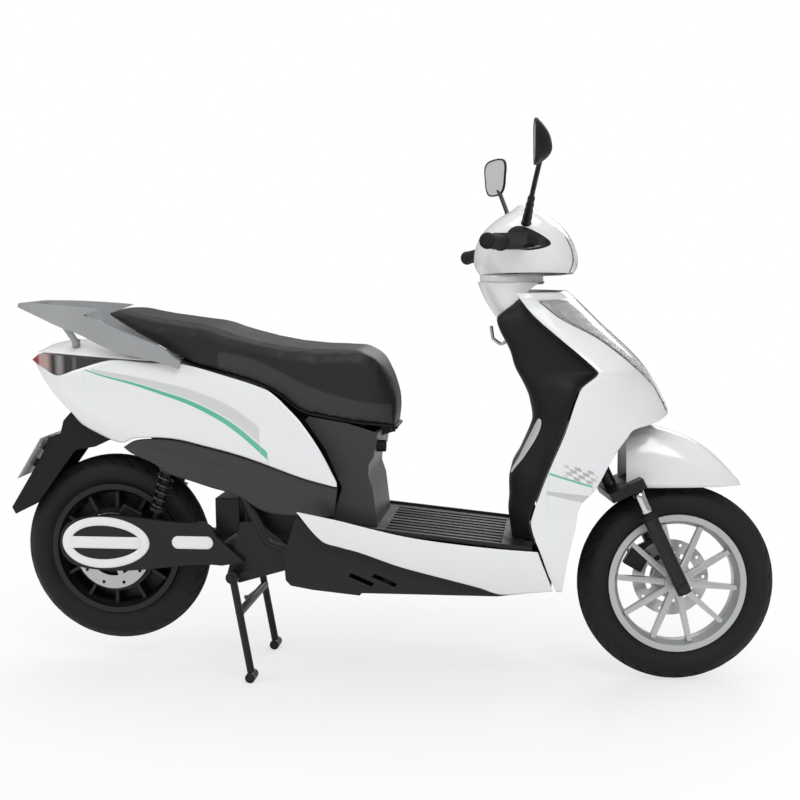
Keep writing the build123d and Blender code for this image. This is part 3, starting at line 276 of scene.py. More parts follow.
settle(new_piece("damper_springs", joined("damper_springs", spring_meshes), spring_paint), "chassis",
    "black_steel")

# ------------------------------------------------------------------ tyres
# Low scooter tyres of black rubber on both wheels. The tread has a centre rib and slanted
# side grooves, cured in the mould, and the side walls stay smooth.
rubber = finish("tyre_rubber", (0.0095, 0.0095, 0.01), 0.7, grain=1100, bump=0.35, mottle=0.2, spec=0.3)
tyre_r, tyre_half, bead_r, bead_half = 0.233, 0.045, 0.1553, 0.0277


def tyre_mesh(name):
    """Ring of the carcass section, its tread cut by slanted grooves that repeat round the tyre"""
    section = np.array([
        (bead_r, bead_half - 0.008), (bead_r, bead_half), (0.1640, bead_half),
        (0.1700, 0.0362), (0.1800, 0.0428),
        (0.1930, tyre_half), (0.2040, 0.0431), (0.2115, 0.0385),
    ])
    crown_a = np.linspace(1, 0, 22)
    crown_y = 0.0385 * crown_a
    crown_r = tyre_r - (tyre_r - 0.2115) * crown_a**2
    half = np.vstack([section[:-1], np.stack([crown_r, crown_y], 1)])
    full = np.vstack([half, (half * [1, -1])[::-1][1:]])
    inside = np.array([(bead_r, -0.0187), (0.190, -0.036), (0.215, -0.025), (0.224, 0.0), (0.215, 0.025),
        (0.190, 0.036), (bead_r, 0.0187)])
    full = np.vstack([full, inside])
    r, y = full[:, 0], full[:, 1]
    a = np.linspace(0, 2 * np.pi, 720, endpoint=False)
    angle, radius = np.meshgrid(a, r, indexing="ij")
    offset = np.broadcast_to(y, radius.shape)
    outer = np.arange(len(r)) < len(full) - len(inside)
    tread = outer & (np.abs(y) < 0.0386) & (r > 0.2114)
    slant = angle * 30 / (2 * np.pi) + np.abs(offset) * 34 + (offset > 0) * 0.5
    phase = np.abs(slant % 1 - 0.5)
    groove = (np.clip((0.085 - phase) / 0.03, 0, 1) * np.clip((np.abs(offset) - 0.0045) / 0.001, 0, 1)
        * np.clip((0.0365 - np.abs(offset)) / 0.001, 0, 1))
    centre = np.clip((0.0014 - np.abs(np.abs(offset) - 0.0135)) / 0.0007, 0, 1)
    radius = radius - np.where(tread, 0.0042 * np.maximum(groove, 0), 0) - np.where(tread, 0.0035 * centre, 0)
    points = np.stack([radius * np.cos(angle), offset, radius * np.sin(angle)], -1)
    return grid_mesh(name, points, close_u=True, close_v=True)


rear_hub = np.array(middle)
rear_tyre_mesh = tyre_mesh("rear_tyre_rubber")
rear_tyre_mesh.transform(Matrix.Translation(rear_hub))
settle(new_piece("rear_tyre_rubber", outward(rear_tyre_mesh), rubber), "rear_wheel", "tyre_rubber",
    "rear_tyre")

steer_joint = next(j for j in frame["joints"] if j["name"] == "steering_turn")
front_joint = next(j for j in frame["joints"] if j["name"] == "front_wheel_spin")
foot, steer_up = Vector(steer_joint["pos_m"]), Vector(steer_joint["axis"]).normalized()
steer_angle = np.radians(8.7)
turned = Matrix.Translation(foot) @ Matrix.Rotation(steer_angle, 4, steer_up) @ Matrix.Translation(-foot)
front_hub = turned.inverted() @ Vector(front_joint["pos_m"])
front_tyre_mesh = tyre_mesh("front_tyre_rubber")
front_tyre_mesh.transform(turned @ Matrix.Translation(front_hub))
settle(new_piece("front_tyre_rubber", outward(front_tyre_mesh), rubber), "front_wheel", "tyre_rubber",
    "front_tyre")

# ------------------------------------------------------------------ wheels and brakes
# The front wheel is cast alloy with ten tapered spokes, painted silver. The rear wheel is
# the hub motor's drum cast with its rim and painted black. Steel discs bolt to each hub.
wheel_silver = finish("silver_wheel_paint", (0.52, 0.53, 0.54), 0.36, metal=0.55, coat=0.25, grain=1500,
    bump=0.1)
from_node("front_wheel_casting", "front_wheel_rim", "front_wheel", "wheel_alloy", wheel_silver, 0.0015)
from_node("rear_wheel_casting", "rear_hub_motor", "rear_wheel", "motor_alloy", cast_black, 0.0012)
back_a, back_r = np.meshgrid(np.linspace(0, 2 * np.pi, 96, endpoint=False),
    np.array([0.1, 0.151, 0.151, 0.1]), indexing="ij")
back_y = np.broadcast_to(np.array([0.021, 0.021, 0.023, 0.023]), back_r.shape)
back_points = rear_hub + np.stack([back_r * np.cos(back_a), back_y, back_r * np.sin(back_a)], -1)
back_plate = new_piece("rear_wheel_back_plate", outward(grid_mesh("rear_wheel_back_plate", back_points,
    close_u=True, close_v=True)), cast_black)
smooth_by_angle(back_plate.data)
settle(back_plate, "rear_wheel", "motor_alloy")
disc_steel = finish("ground_disc_steel", (0.52, 0.52, 0.53), 0.28, metal=1.0, grain=2400, bump=0.15)
from_node("front_disc", "front_brake_disc", "front_wheel", "disc_steel", disc_steel, 0.0005)
from_node("rear_disc", "rear_brake_disc", "rear_wheel", "disc_steel", disc_steel, 0.0005)
from_node("front_brake_body", "front_caliper", "steering", "black_alloy", cast_black, 0.002)

# ------------------------------------------------------------------ centre stand
# Two bent tubes, a tie tube, a foot lever and crosswise feet, welded and painted black. It
# swings on the frame's pin and rests a little past its pivot, so it holds by itself.
from_node("stand_tubes", "centre_stand", "stand", "black_steel", black_steel, 0.0012)

# ------------------------------------------------------------------ floor, belly pan and pillar
# Charcoal mouldings with a satin face: the ribbed footboard on its posts, the tray under the
# battery, and the box under the front of the seat, which holds the charging inlet.
from_node("footboard_moulding", "floorboard", "chassis", "dark_plastic", cover_black, 0.0015)
from_node("belly_tray", "belly_pan", "chassis", "dark_plastic", cover_black, 0.003)
from_node("pillar_moulding", "seat_pillar", "chassis", "dark_plastic", dark_plastic, 0.003)
from_node("charging_socket", "charging_port", "chassis", "black_plastic", black_plastic, 0.001)
from_node("seat_tub", "load_tub", "chassis", "black_plastic", black_plastic, 0.002)

# Black inner mouldings close the view between the pillar, the arm and the rear tyre: the
# controller's case ahead of the tyre, and a splash sheet on each side behind the covers.


def slab(name, x, y, z, lean=0.0):
    """Plain moulded block between (low, high) values, its front face set back by lean at the top"""
    corners = np.array([(i, j, k) for i in (0, 1) for j in (0, 1) for k in (0, 1)])
    px = np.array(x)[corners[:, 0]] - lean * corners[:, 0] * corners[:, 2]
    mesh = bpy.data.meshes.new(name)
    quads = [(0, 1, 3, 2), (4, 6, 7, 5), (0, 4, 5, 1), (2, 3, 7, 6), (0, 2, 6, 4), (1, 5, 7, 3)]
    mesh.from_pydata(place(px, np.array(y)[corners[:, 1]], np.array(z)[corners[:, 2]]).tolist(), [], quads)
    return mesh


inner_blocks = [slab("case", (262, 322), (-55, 55), (342, 428)),
    slab("sheet", (335, 575), (-58, -55), (340, 480), 40)]
inner_blocks.append(slab("sheet", (335, 575), (55, 58), (340, 480), 40))
inner_black = new_piece("inner_splash_mouldings", joined("inner_splash_mouldings", inner_blocks), cover_black)
smooth_by_angle(inner_black.data)
settle(soften(inner_black, 0.004), "chassis", "dark_plastic")

# ------------------------------------------------------------------ white side panels
# One gloss white moulding on each side, from the tail tip to the footboard. Its widest line
# falls forward. A grey and a green foil stripe follow the seat's edge, thicker to the front.


def along(stations, s):
    """Smooth curve through (place, value) stations: cubic pieces, each slope taken from both neighbours"""
    p = np.array(stations, float)
    x, v = p[:, 0], p[:, 1]
    s = np.clip(np.asarray(s, float), x[0], x[-1])
    low, high = np.maximum(np.arange(len(x)) - 1, 0), np.minimum(np.arange(len(x)) + 1, len(x) - 1)
    slope = (v[high] - v[low]) / (x[high] - x[low])
    i = np.clip(np.searchsorted(x, s, side="right") - 1, 0, len(x) - 2)
    step = x[i + 1] - x[i]
    t = (s - x[i]) / step
    return (
        (2 * t**3 - 3 * t**2 + 1) * v[i] + (t**3 - 2 * t**2 + t) * slope[i] * step
        + (3 * t**2 - 2 * t**3) * v[i + 1] + (t**3 - t**2) * slope[i + 1] * step
    )


def through(points, s):
    """Smooth side-view line through (x, z) points, s from 0 to 1 by their chord lengths"""
    p = np.array(points, float)
    chord = np.concatenate([[0], np.cumsum(np.hypot(*np.diff(p, axis=0).T))])
    chord /= chord[-1]
    return along(np.stack([chord, p[:, 0]], 1), s), along(np.stack([chord, p[:, 1]], 1), s)


def between(lower, upper, rows, cols):
    """(x, z) grid ruled between two side-view lines"""
    u, v = np.meshgrid(np.linspace(0, 1, rows), np.linspace(0, 1, cols), indexing="ij")
    x0, z0 = through(lower, u)
    x1, z1 = through(upper, u)
    return x0 + (x1 - x0) * v, z0 + (z1 - z0) * v, u, v


tail_half = [(-205, 24), (-170, 54), (-100, 88), (-20, 108), (80, 124), (200, 136), (330, 144), (450, 151),
    (600, 168)]
panel_mid_z = [(-205, 735), (-100, 705), (100, 682), (300, 648), (450, 600), (600, 520)]


def tail_side(x, z):
    """Half width of the tail: its plan width, less a soft fall above and below the widest line"""
    rise = (z - along(panel_mid_z, x)) / 90
    return along(tail_half, x) - 12 * rise**2 / (1 + 0.25 * rise**2)


def attribute(mesh, name, values):
    """One number on each vertex, for a material to read"""
    layer = mesh.attributes.new(name, "FLOAT", "POINT")
    layer.data.foreach_set("value", np.asarray(values, np.float32).ravel())


def wall(piece, thickness=0.0028, offset=-1.0):
    """Moulded thickness behind the face"""
    solid = piece.modifiers.new("wall", "SOLIDIFY")
    solid.thickness = thickness
    solid.offset = offset
    return piece


def painted(material, colour, name, low, high, edge=0.02, rough=None):
    """A colour over the material's own, where the named vertex number lies between low and high: foil
    stripes, and the painted light on the seat's sides
    """
    nodes, links = material.node_tree.nodes, material.node_tree.links
    shader = nodes["Principled BSDF"]
    old = shader.inputs["Base Color"].links[0].from_socket
    read = nodes.new("ShaderNodeAttribute")
    read.attribute_name = name
    inside = None
    for start, stop in ((low - edge, low + edge), (high + edge, high - edge)):
        step = nodes.new("ShaderNodeMapRange")
        step.inputs["From Min"].default_value = start
        step.inputs["From Max"].default_value = stop
        links.new(read.outputs["Fac"], step.inputs["Value"])
        if inside is None:
            inside = step.outputs["Result"]
        else:
            both = nodes.new("ShaderNodeMath")
            both.operation = "MULTIPLY"
            links.new(inside, both.inputs[0])
            links.new(step.outputs["Result"], both.inputs[1])
            inside = both.outputs["Value"]
    mix = nodes.new("ShaderNodeMix")
    mix.data_type = "RGBA"
    links.new(inside, mix.inputs["Factor"])
    links.new(old, mix.inputs["A"])
    mix.inputs["B"].default_value = (*colour, 1)
    links.new(mix.outputs["Result"], shader.inputs["Base Color"])
    return material


white_colour = (0.80, 0.81, 0.825)
panel_white = finish("gloss_white_moulding", white_colour, 0.2, coat=0.7, grain=160, bump=0.015, mottle=0.012)
striped_white = finish("striped_white_moulding", white_colour, 0.2, coat=0.7, grain=160, bump=0.015,
    mottle=0.012)
painted(striped_white, (0.10, 0.47, 0.30), "green", -1, 1, 0.12)
painted(striped_white, (0.62, 0.63, 0.64), "grey", -1, 1, 0.25)
panel_lower = [(-194, 763), (-142, 696), (-84, 641), (-55, 611), (9, 581), (49, 571), (81, 582), (132, 587),
    (194, 584), (255, 571), (352, 547), (495, 500), (583, 481)]
panel_upper = [(-194, 763), (-120, 727), (-62, 742), (5, 762), (42, 768), (133, 762), (209, 760),
    (330, 729), (413, 702), (437, 686), (460, 665), (496, 628), (543, 561), (583, 481)]
stripe_line = [(-40, 746), (9, 732), (86, 715), (160, 694), (234, 670), (306, 635), (353, 603), (419, 545)]
px, pz, pu, pv = between(panel_lower, panel_upper, 260, 64)
py = tail_side(px, pz)
edge_fall = np.exp(-((pv * (1 - pv)) * 90)) * (pu > 0.02) * (pu < 0.99)
above_low = pz - through(panel_lower, pu)[1]
tuck = 13 * (1 - above_low / 42).clip(0, 1) ** 1.5 * (1 - ((px + 20) / 130).clip(0, 1))
stripe_z = along(stripe_line, px)
stripe_w = along([(-40, 1.2), (86, 3.0), (234, 5.5), (353, 8.0), (419, 9.5)], px)
live = (px > -38) & (px < 417)
green = np.where(live, (pz - stripe_z) / stripe_w, 9)
grey = np.where(live & (px > -20) & (px < 400), (pz - stripe_z - 3.6 * stripe_w) / (2.2 * stripe_w), 9)
panel_meshes = []
for side in (-1, 1):
    points = place(px, side * (py - 1.6 * edge_fall - tuck), pz)
    mesh = grid_mesh("panel", points if side < 0 else points[::-1])
    attribute(mesh, "green", green if side < 0 else green[::-1])
    attribute(mesh, "grey", grey if side < 0 else grey[::-1])
    panel_meshes.append(mesh)
side_panels = new_piece("side_panel_mouldings", joined("side_panel_mouldings", panel_meshes), striped_white)
wall(side_panels)
settle(side_panels, "chassis", "white_gloss", "side_panels")

# ------------------------------------------------------------------ swingarm cover trims
# An egg-shaped white ring with a bar across it, and a short white capsule, are clipped into
# the black cover on the arm. The bar stands between two dark slots.
ring_a, ring_v = np.meshgrid(np.linspace(0, 2 * np.pi, 160, endpoint=False),
    np.linspace(0, 2 * np.pi, 12, endpoint=False), indexing="ij")
ring_x, ring_z = 4 + 98 * np.cos(ring_a), 326.5 + 52 * np.sin(ring_a) * (1 - 0.10 * np.cos(ring_a))
band_x, band_z = ring_x + 11 * np.cos(ring_v) * np.cos(ring_a), ring_z + 11 * np.cos(ring_v) * np.sin(ring_a)
trim_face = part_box("swingarm_cover")[0].y * 1000
ring_mesh = grid_mesh("ring", place(band_x, trim_face - 0.4 - 2.2 * np.abs(np.sin(ring_v)) ** 0.5
    * np.sign(np.sin(ring_v)), band_z), close_u=True, close_v=True)


def pad(name, x0, x1, z0, z1, round_r, thick=2.6):
    """Flat pad with round ends and a softly raised face, standing on the cover"""
    a, r = np.meshgrid(np.linspace(0, 2 * np.pi, 96, endpoint=False), np.array([0, 0.6, 0.9, 1.0, 1.0]),
        indexing="ij")
    x = ((x0 + x1) / 2 + ((x1 - x0) / 2 - round_r) * np.sign(np.cos(a)) * (np.abs(np.cos(a)) > 0.02)
        * np.minimum(r * 1.2, 1) + round_r * np.cos(a) * r)
    z = (z0 + z1) / 2 + (z1 - z0) / 2 * np.sin(a) * r
    lift = thick * np.array([1, 1, 0.85, 0.45, -0.3])[None, :]
    return outward(grid_mesh(name, place(x, trim_face - lift, z), close_u=True))


trim_meshes = [outward(ring_mesh), pad("bar", -86, 96, 312, 341, 6), pad("capsule", 169, 270, 315, 346, 15)]
cover_white = finish("clipped_white_trim", white_colour, 0.25, coat=0.5, grain=200, bump=0.02, mottle=0.012)
settle(new_piece("arm_cover_trims", joined("arm_cover_trims", trim_meshes), cover_white), "chassis",
    "white_gloss")

# ------------------------------------------------------------------ dark lower covers
# Charcoal mouldings under the side panels, which close the body over the dampers down to
# the footboard. They sit a little further in, and are screwed to the frame's bosses.
cover_lower = [(52, 557), (71, 543), (125, 520), (161, 496), (221, 478), (271, 463), (331, 447), (398, 409),
    (478, 402), (570, 404)]
cover_upper = [(52, 559), (81, 575), (132, 581), (194, 578), (255, 565), (352, 541), (430, 516), (495, 494),
    (550, 481), (581, 474)]
cx, cz, cu, cv = between(cover_lower, cover_upper, 120, 24)
crease = 3.0 * np.exp(-((cv - 0.55) / 0.12) ** 2) * np.sin(np.pi * np.clip(cu, 0, 1))
cover_meshes = []
for side in (-1, 1):
    points = place(cx, side * (tail_side(cx, cz) - 8 - 3 + crease), cz)
    cover_meshes.append(grid_mesh("cover", points if side < 0 else points[::-1]))
lower_covers = new_piece("lower_cover_mouldings", joined("lower_cover_mouldings", cover_meshes), dark_plastic)
wall(lower_covers)
settle(lower_covers, "chassis", "dark_plastic", "lower_covers")

# ------------------------------------------------------------------ white skirts
# A gloss white panel along each edge of the footboard, leaning in towards its lower edge.
floor_edge = [(488, 424), (589, 402), (729, 370), (890, 349), (1049, 338)]
skirt_lower = [(488, 421), (545, 353), (588, 339), (634, 327), (727, 295), (843, 265), (911, 247),
    (957, 232), (1020, 237), (1078, 244)]
skirt_upper = [(488, 422), (540, 412), (589, 402), (660, 385), (729, 370), (800, 359), (890, 349),
    (960, 343), (1010, 340), (1044, 338)]
sx, sz, _, _ = between(skirt_lower, skirt_upper, 110, 30)
lean = (along(floor_edge, sx) - sz) / 110
sy = 172 - 22 * lean * np.abs(lean) - 3 * lean
skirt_meshes = []
for side in (-1, 1):
    points = place(sx, side * sy, sz)
    skirt_meshes.append(grid_mesh("skirt", points if side < 0 else points[::-1]))
skirts = new_piece("skirt_mouldings", joined("skirt_mouldings", skirt_meshes), panel_white)
wall(skirts)
settle(skirts, "chassis", "white_gloss", "side_skirts")

# ------------------------------------------------------------------ tail cover, lamp and rail
# A thin white cover closes the tail over the lamp. The lamp wraps round the tip: red at the
# rear, smoked along the sides. The grab rail is cast alloy, painted satin silver.
tail_top = [(-172, 780), (-150, 793), (-103, 803), (-54, 804), (27, 793), (131, 777), (200, 771)]
tail_edge = [(-172, 779.5), (-101, 777.5), (-23, 773), (42, 769.5), (131, 765), (200, 767)]
tx, tv = np.meshgrid(np.linspace(-172, 200, 90), np.linspace(-1, 1, 61), indexing="ij")
t_edge = along(tail_edge, tx)
tail_points = place(tx, tv * (tail_side(tx, 765) - 1), t_edge + 3.3 + (along(tail_top, tx) - t_edge) * (1
    - tv**2))
tail_cap = new_piece("tail_cover_moulding", grid_mesh("tail_cover_moulding", tail_points), panel_white)
wall(tail_cap)
settle(tail_cap, "chassis", "white_gloss", "tail_cover")


def lens(name, colour, rough=0.04, weight=0.85, ior=1.49, ribs=0.0, pitch=0.004):
    """Clear moulded plastic, with fine flutes behind its face where ribs is not nought"""
    m = bpy.data.materials.new(name)
    m.use_nodes = True
    nodes, links = m.node_tree.nodes, m.node_tree.links
    shader = nodes["Principled BSDF"]
    shader.inputs["Transmission Weight"].default_value = weight
    shader.inputs["IOR"].default_value = ior
    coords, slow = nodes.new("ShaderNodeTexCoord"), nodes.new("ShaderNodeTexNoise")
    slow.inputs["Scale"].default_value = 14
    links.new(coords.outputs["Object"], slow.inputs["Vector"])
    tint = nodes.new("ShaderNodeMix")
    tint.data_type = "RGBA"
    tint.inputs["A"].default_value = (*[c * 0.93 for c in colour], 1)
    tint.inputs["B"].default_value = (*[min(c * 1.07, 1) for c in colour], 1)
    links.new(slow.outputs["Fac"], tint.inputs["Factor"])
    links.new(tint.outputs["Result"], shader.inputs["Base Color"])
    shader.inputs["Roughness"].default_value = rough
    if ribs:
        wave, relief = nodes.new("ShaderNodeTexWave"), nodes.new("ShaderNodeBump")
        wave.bands_direction = "X"
        wave.inputs["Scale"].default_value = 0.314 / pitch
        relief.inputs["Strength"].default_value = ribs
        relief.inputs["Distance"].default_value = 0.001
        links.new(coords.outputs["Object"], wave.inputs["Vector"])
        links.new(wave.outputs["Fac"], relief.inputs["Height"])
        links.new(relief.outputs["Normal"], shader.inputs["Normal"])
    return m


tail_smoke = lens("smoked_lamp_lens", (0.05, 0.047, 0.045), 0.06, 0.15, ribs=0.2)


def banded(material, axis, low, high, soft, colour, strength=1.0):
    """Tint where the place along one axis, in metres, lies between low and high"""
    nodes, links = material.node_tree.nodes, material.node_tree.links
    shader = nodes["Principled BSDF"]
    coords, split = nodes.new("ShaderNodeTexCoord"), nodes.new("ShaderNodeSeparateXYZ")
    links.new(coords.outputs["Object"], split.inputs[0])
    mask = None
    for start, stop, top in ((low - soft, low + soft, strength), (high + soft, high - soft, 1.0)):
        step = nodes.new("ShaderNodeMapRange")
        step.inputs["From Min"].default_value = start
        step.inputs["From Max"].default_value = stop
        step.inputs["To Max"].default_value = top
        links.new(split.outputs[axis], step.inputs["Value"])
        if mask is None:
            mask = step.outputs["Result"]
        else:
            times = nodes.new("ShaderNodeMath")
            times.operation = "MULTIPLY"
            links.new(mask, times.inputs[0])
            links.new(step.outputs["Result"], times.inputs[1])
            mask = times.outputs["Value"]
    mix = nodes.new("ShaderNodeMix")
    mix.data_type = "RGBA"
    links.new(mask, mix.inputs["Factor"])
    links.new(shader.inputs["Base Color"].links[0].from_socket, mix.inputs["A"])
    mix.inputs["B"].default_value = (*colour, 1)
    links.new(mix.outputs["Result"], shader.inputs["Base Color"])


# The two grey bands across the smoked lens are painted highlights, for the light the reflectors behind it
# catch.
banded(tail_smoke, "X", middle.x - 0.118, middle.x - 0.098, 0.006, (0.30, 0.29, 0.29))
banded(tail_smoke, "X", middle.x - 0.070, middle.x - 0.062, 0.004, (0.16, 0.155, 0.155))
banded(tail_smoke, "X", middle.x - 0.260, middle.x - 0.138, 0.008, (0.50, 0.36, 0.32))
banded(tail_smoke, "X", middle.x - 0.260, middle.x - 0.172, 0.005, (0.36, 0.03, 0.03))
from_node("tail_lamp_lens", "tail_lamp", "chassis", "lamp_lens", tail_smoke, 0.003)
rail_silver = finish("satin_silver_paint", (0.36, 0.37, 0.38), 0.4, metal=0.35, coat=0.1, grain=1800,
    bump=0.1)
from_node("grab_rail_casting", "grab_rail", "chassis", "silver_alloy", rail_silver, 0.004)
from_node("mudguard_moulding", "rear_mudguard", "chassis", "black_plastic", black_plastic, 0.002)
plate_white = finish("bare_plate_enamel", (0.72, 0.73, 0.74), 0.35, coat=0.2, grain=500, bump=0.03)
from_node("plate_blank", "number_plate", "chassis", "plate_blank", plate_white, 0.0006)

# ------------------------------------------------------------------ nose fairing
# Gloss white moulding round the front of the scooter, open over the wheel. It runs from one
# side of the legshield round the nose to the other, and carries two foil stripes low down.
rim_x = [(240, 1086), (284, 1068), (336, 1050), (366, 1038), (401, 1029), (424, 1033), (472, 1049),
    (531, 1071), (612, 1104), (692, 1130), (719, 1143), (743, 1172), (753, 1176), (790, 1136), (826, 1092),
    (873, 1036), (912, 1001), (937, 982)]
rim_half = [(240, 150), (284, 164), (336, 171), (424, 175), (531, 190), (612, 204), (692, 212), (743, 213),
    (790, 204), (826, 188), (873, 158), (912, 122)]
nose_x = [(240, 1343), (639, 1343), (684, 1324), (757, 1277), (850, 1184), (909, 1125), (937, 1090)]
arch_x = [(230, 1098), (252, 1101), (318, 1112), (389, 1128), (445, 1140), (480, 1172), (560, 1215),
    (600, 1244), (618, 1262), (627, 1311), (640, 1343)]


def front_point(t, z, proud=0.0):
    """Fairing at height z, a squared-off ellipse: t from -1 (left rim) round the nose (0) to 1 (right rim)"""
    rim, nose, half = along(rim_x, z), along(nose_x, z) + proud, along(rim_half, z) + proud
    a = np.abs(t) * np.pi / 2
    x = rim + (nose - rim) * np.cos(a).clip(0) ** 1.15
    y = -np.sign(t) * half * np.sin(a) ** 1.1
    return x, y


def arch_t(z):
    """Where the wheel opening cuts the fairing at height z"""
    rim, nose = along(rim_x, z), along(nose_x, z)
    part = ((along(arch_x, z) - rim) / (nose - rim)).clip(0, 1)
    return np.where(z < 640, np.arccos(part ** (1 / 1.15)) / (np.pi / 2), 0)


heights = np.concatenate([np.linspace(240, 612, 76), np.linspace(614, 660, 40), np.linspace(664, 924, 68)])
fz, fu = np.meshgrid(heights, np.concatenate([-np.linspace(1, 0, 70), np.linspace(0, 1, 70)]), indexing="ij")
start = arch_t(fz)
ft = np.sign(fu) * (start + (1 - start) * np.abs(fu))
fx, fy = front_point(ft, fz)
middle_column = np.abs(fu) < 1e-9
fy = np.where(middle_column & (fz >= 640), 0, fy)
left_start = (np.arange(140) < 70)[None, :]
at_arch = middle_column & (fz < 640)
fx = np.where(at_arch, front_point(start, fz)[0], fx)
fy = np.where(at_arch, np.where(left_start, -1, 1) * front_point(start, fz)[1], fy)
nose_mesh = grid_mesh("nose_moulding", place(fx, fy, fz)[:, ::-1], keep=lambda i,
    j: (j != 69) | (heights[i] >= 640))
line_z = 521 - (fx - 1073) * 0.348
grey_z = 478 - (fx - 1060) * 0.205
in_decal = (fx > 1068) & (fx < 1168) & (np.abs(fy) > 100)
in_grey = (fx > 1062) & (fx < 1163) & (np.abs(fy) > 100)
attribute(nose_mesh, "green", np.where(in_decal, (fz - line_z) / 2.6, 9)[:, ::-1])
attribute(nose_mesh, "grey", np.where(in_grey, (fz - grey_z) / (4 + 6 * ((fx - 1060) / 100).clip(0, 1)),
    9)[:, ::-1])
attribute(nose_mesh, "check_u", ((fx - 1104) / 12.5 + (fz - 528) / 30)[:, ::-1])
attribute(nose_mesh, "check_v", ((fz - 528 + (fx - 1104) * 0.30) / 8.0)[:, ::-1])
check_fade = (1 - np.abs((fx - 1140) / 40) ** 4).clip(0, 1) * (np.abs(fy) > 100)
attribute(nose_mesh, "check_fade", check_fade[:, ::-1])
nose_white = finish("nose_white_moulding", white_colour, 0.2, coat=0.7, grain=160, bump=0.015, mottle=0.012)
painted(nose_white, (0.13, 0.50, 0.33), "green", -1, 1)
painted(nose_white, (0.55, 0.56, 0.57), "grey", -1, 1)
check_nodes, check_links = nose_white.node_tree.nodes, nose_white.node_tree.links
check_read = [check_nodes.new("ShaderNodeAttribute") for _ in range(3)]
for reader, word in zip(check_read, ("check_u", "check_v", "check_fade")):
    reader.attribute_name = word
check_at, check_tex = check_nodes.new("ShaderNodeCombineXYZ"), check_nodes.new("ShaderNodeTexChecker")
check_tex.inputs["Scale"].default_value = 1
check_at.inputs["Z"].default_value = 0.5
check_links.new(check_read[0].outputs["Fac"], check_at.inputs["X"])
check_links.new(check_read[1].outputs["Fac"], check_at.inputs["Y"])
check_links.new(check_at.outputs["Vector"], check_tex.inputs["Vector"])
check_band = check_nodes.new("ShaderNodeMath")
check_band.operation = "COMPARE"
check_band.inputs[1].default_value = 0
check_band.inputs[2].default_value = 2.0
check_links.new(check_read[1].outputs["Fac"], check_band.inputs[0])
check_sum = check_band.outputs["Value"]
for factor in (check_tex.outputs["Fac"], check_read[2].outputs["Fac"]):
    times = check_nodes.new("ShaderNodeMath")
    times.operation = "MULTIPLY"
    check_links.new(check_sum, times.inputs[0])
    check_links.new(factor, times.inputs[1])
    check_sum = times.outputs["Value"]
check_mix = check_nodes.new("ShaderNodeMix")
check_mix.data_type = "RGBA"
check_shader = check_nodes["Principled BSDF"]
check_links.new(check_sum, check_mix.inputs["Factor"])
check_links.new(check_shader.inputs["Base Color"].links[0].from_socket, check_mix.inputs["A"])
check_mix.inputs["B"].default_value = (0.42, 0.43, 0.44, 1)
check_links.new(check_mix.outputs["Result"], check_shader.inputs["Base Color"])
nose = new_piece("nose_moulding", outward(nose_mesh), nose_white)
wall(nose)
settle(nose, "chassis", "white_gloss", "front_cover")

# ------------------------------------------------------------------ front lamps
# A slim lamp on each side of the nose: a bright metallised tray under a clear moulded lens
# that stands a little proud of the fairing.
lamp_low = [(645, 1339), (686, 1319), (743, 1272), (818, 1181), (868, 1092), (900, 1050), (915, 1030)]


def lamp_grid(proud_edge, proud_mid, s0=0.0, s1=1.0, z0=648.0, z1=908.0, rows=110, cols=34):
    """Strip of the nose between its inner and lower lamp lines, raised more along its middle"""
    z, s = np.meshgrid(np.linspace(z0, z1, rows), np.linspace(s0, s1, cols), indexing="ij")
    rim, nose_at, half = along(rim_x, z), along(nose_x, z), along(rim_half, z)
    low = np.arccos((((along(lamp_low, z) - rim) / (nose_at - rim)).clip(0, 1)) ** (1 / 1.15)) / (np.pi / 2)
    high = np.arcsin((26 / half) ** (1 / 1.1)) / (np.pi / 2)
    low = np.maximum(low, high + 0.06)
    raised = (proud_edge + (proud_mid - proud_edge) * np.sin(np.pi * s).clip(0) ** 0.6
        * np.sin(np.pi * (z - z0) / (z1 - z0)).clip(0) ** 0.3)
    x, y = front_point(high + (low - high) * s, z, raised)
    return x, y, z


lens_meshes, tray_meshes = [], []
for side in (-1, 1):
    x, y, z = lamp_grid(0.5, 7.0)
    lens_meshes.append(grid_mesh("lens", place(x, -side * y, z)[::1 if side > 0 else -1]))
    x, y, z = lamp_grid(0.4, 1.2, 0.03, 0.97, 650, 906)
    pleat = 0.7 * np.abs((z / 9) % 2 - 1)
    tray_meshes.append(grid_mesh("tray", place(x + pleat, -side * y, z)[::1 if side > 0 else -1]))
clear_lens = lens("clear_lamp_lens", (0.93, 0.94, 0.95), 0.03, 0.95)
chrome = finish("bright_metallised_tray", (0.40, 0.385, 0.375), 0.3, metal=0.8, grain=90, bump=0.04,
    mottle=0.2)
lamp_glass = new_piece("front_lamp_lenses", joined("front_lamp_lenses", lens_meshes), clear_lens)
wall(lamp_glass, 0.0015)
settle(lamp_glass, "chassis", "clear_lens", "front_lamps")
lamp_tray = new_piece("front_lamp_trays", joined("front_lamp_trays", tray_meshes), chrome)
settle(lamp_tray, "chassis", "clear_lens")
gasket_meshes = []
for side in (-1, 1):
    for s0, s1, z0, z1 in ((-0.015, 0.035, 649, 904), (0.985, 1.012, 655, 904)):
        x, y, z = lamp_grid(1.6, 1.8, s0, s1, z0, z1, 110, 5)
        gasket_meshes.append(grid_mesh("gasket", place(x, -side * y, z)[::1 if side > 0 else -1]))
gasket_grey = finish("lamp_gasket_rubber", (0.05, 0.05, 0.052), 0.5, grain=900, bump=0.1, spec=0.3)
lamp_gaskets = new_piece("front_lamp_gaskets", joined("front_lamp_gaskets", gasket_meshes), gasket_grey)
settle(lamp_gaskets, "chassis", "clear_lens")

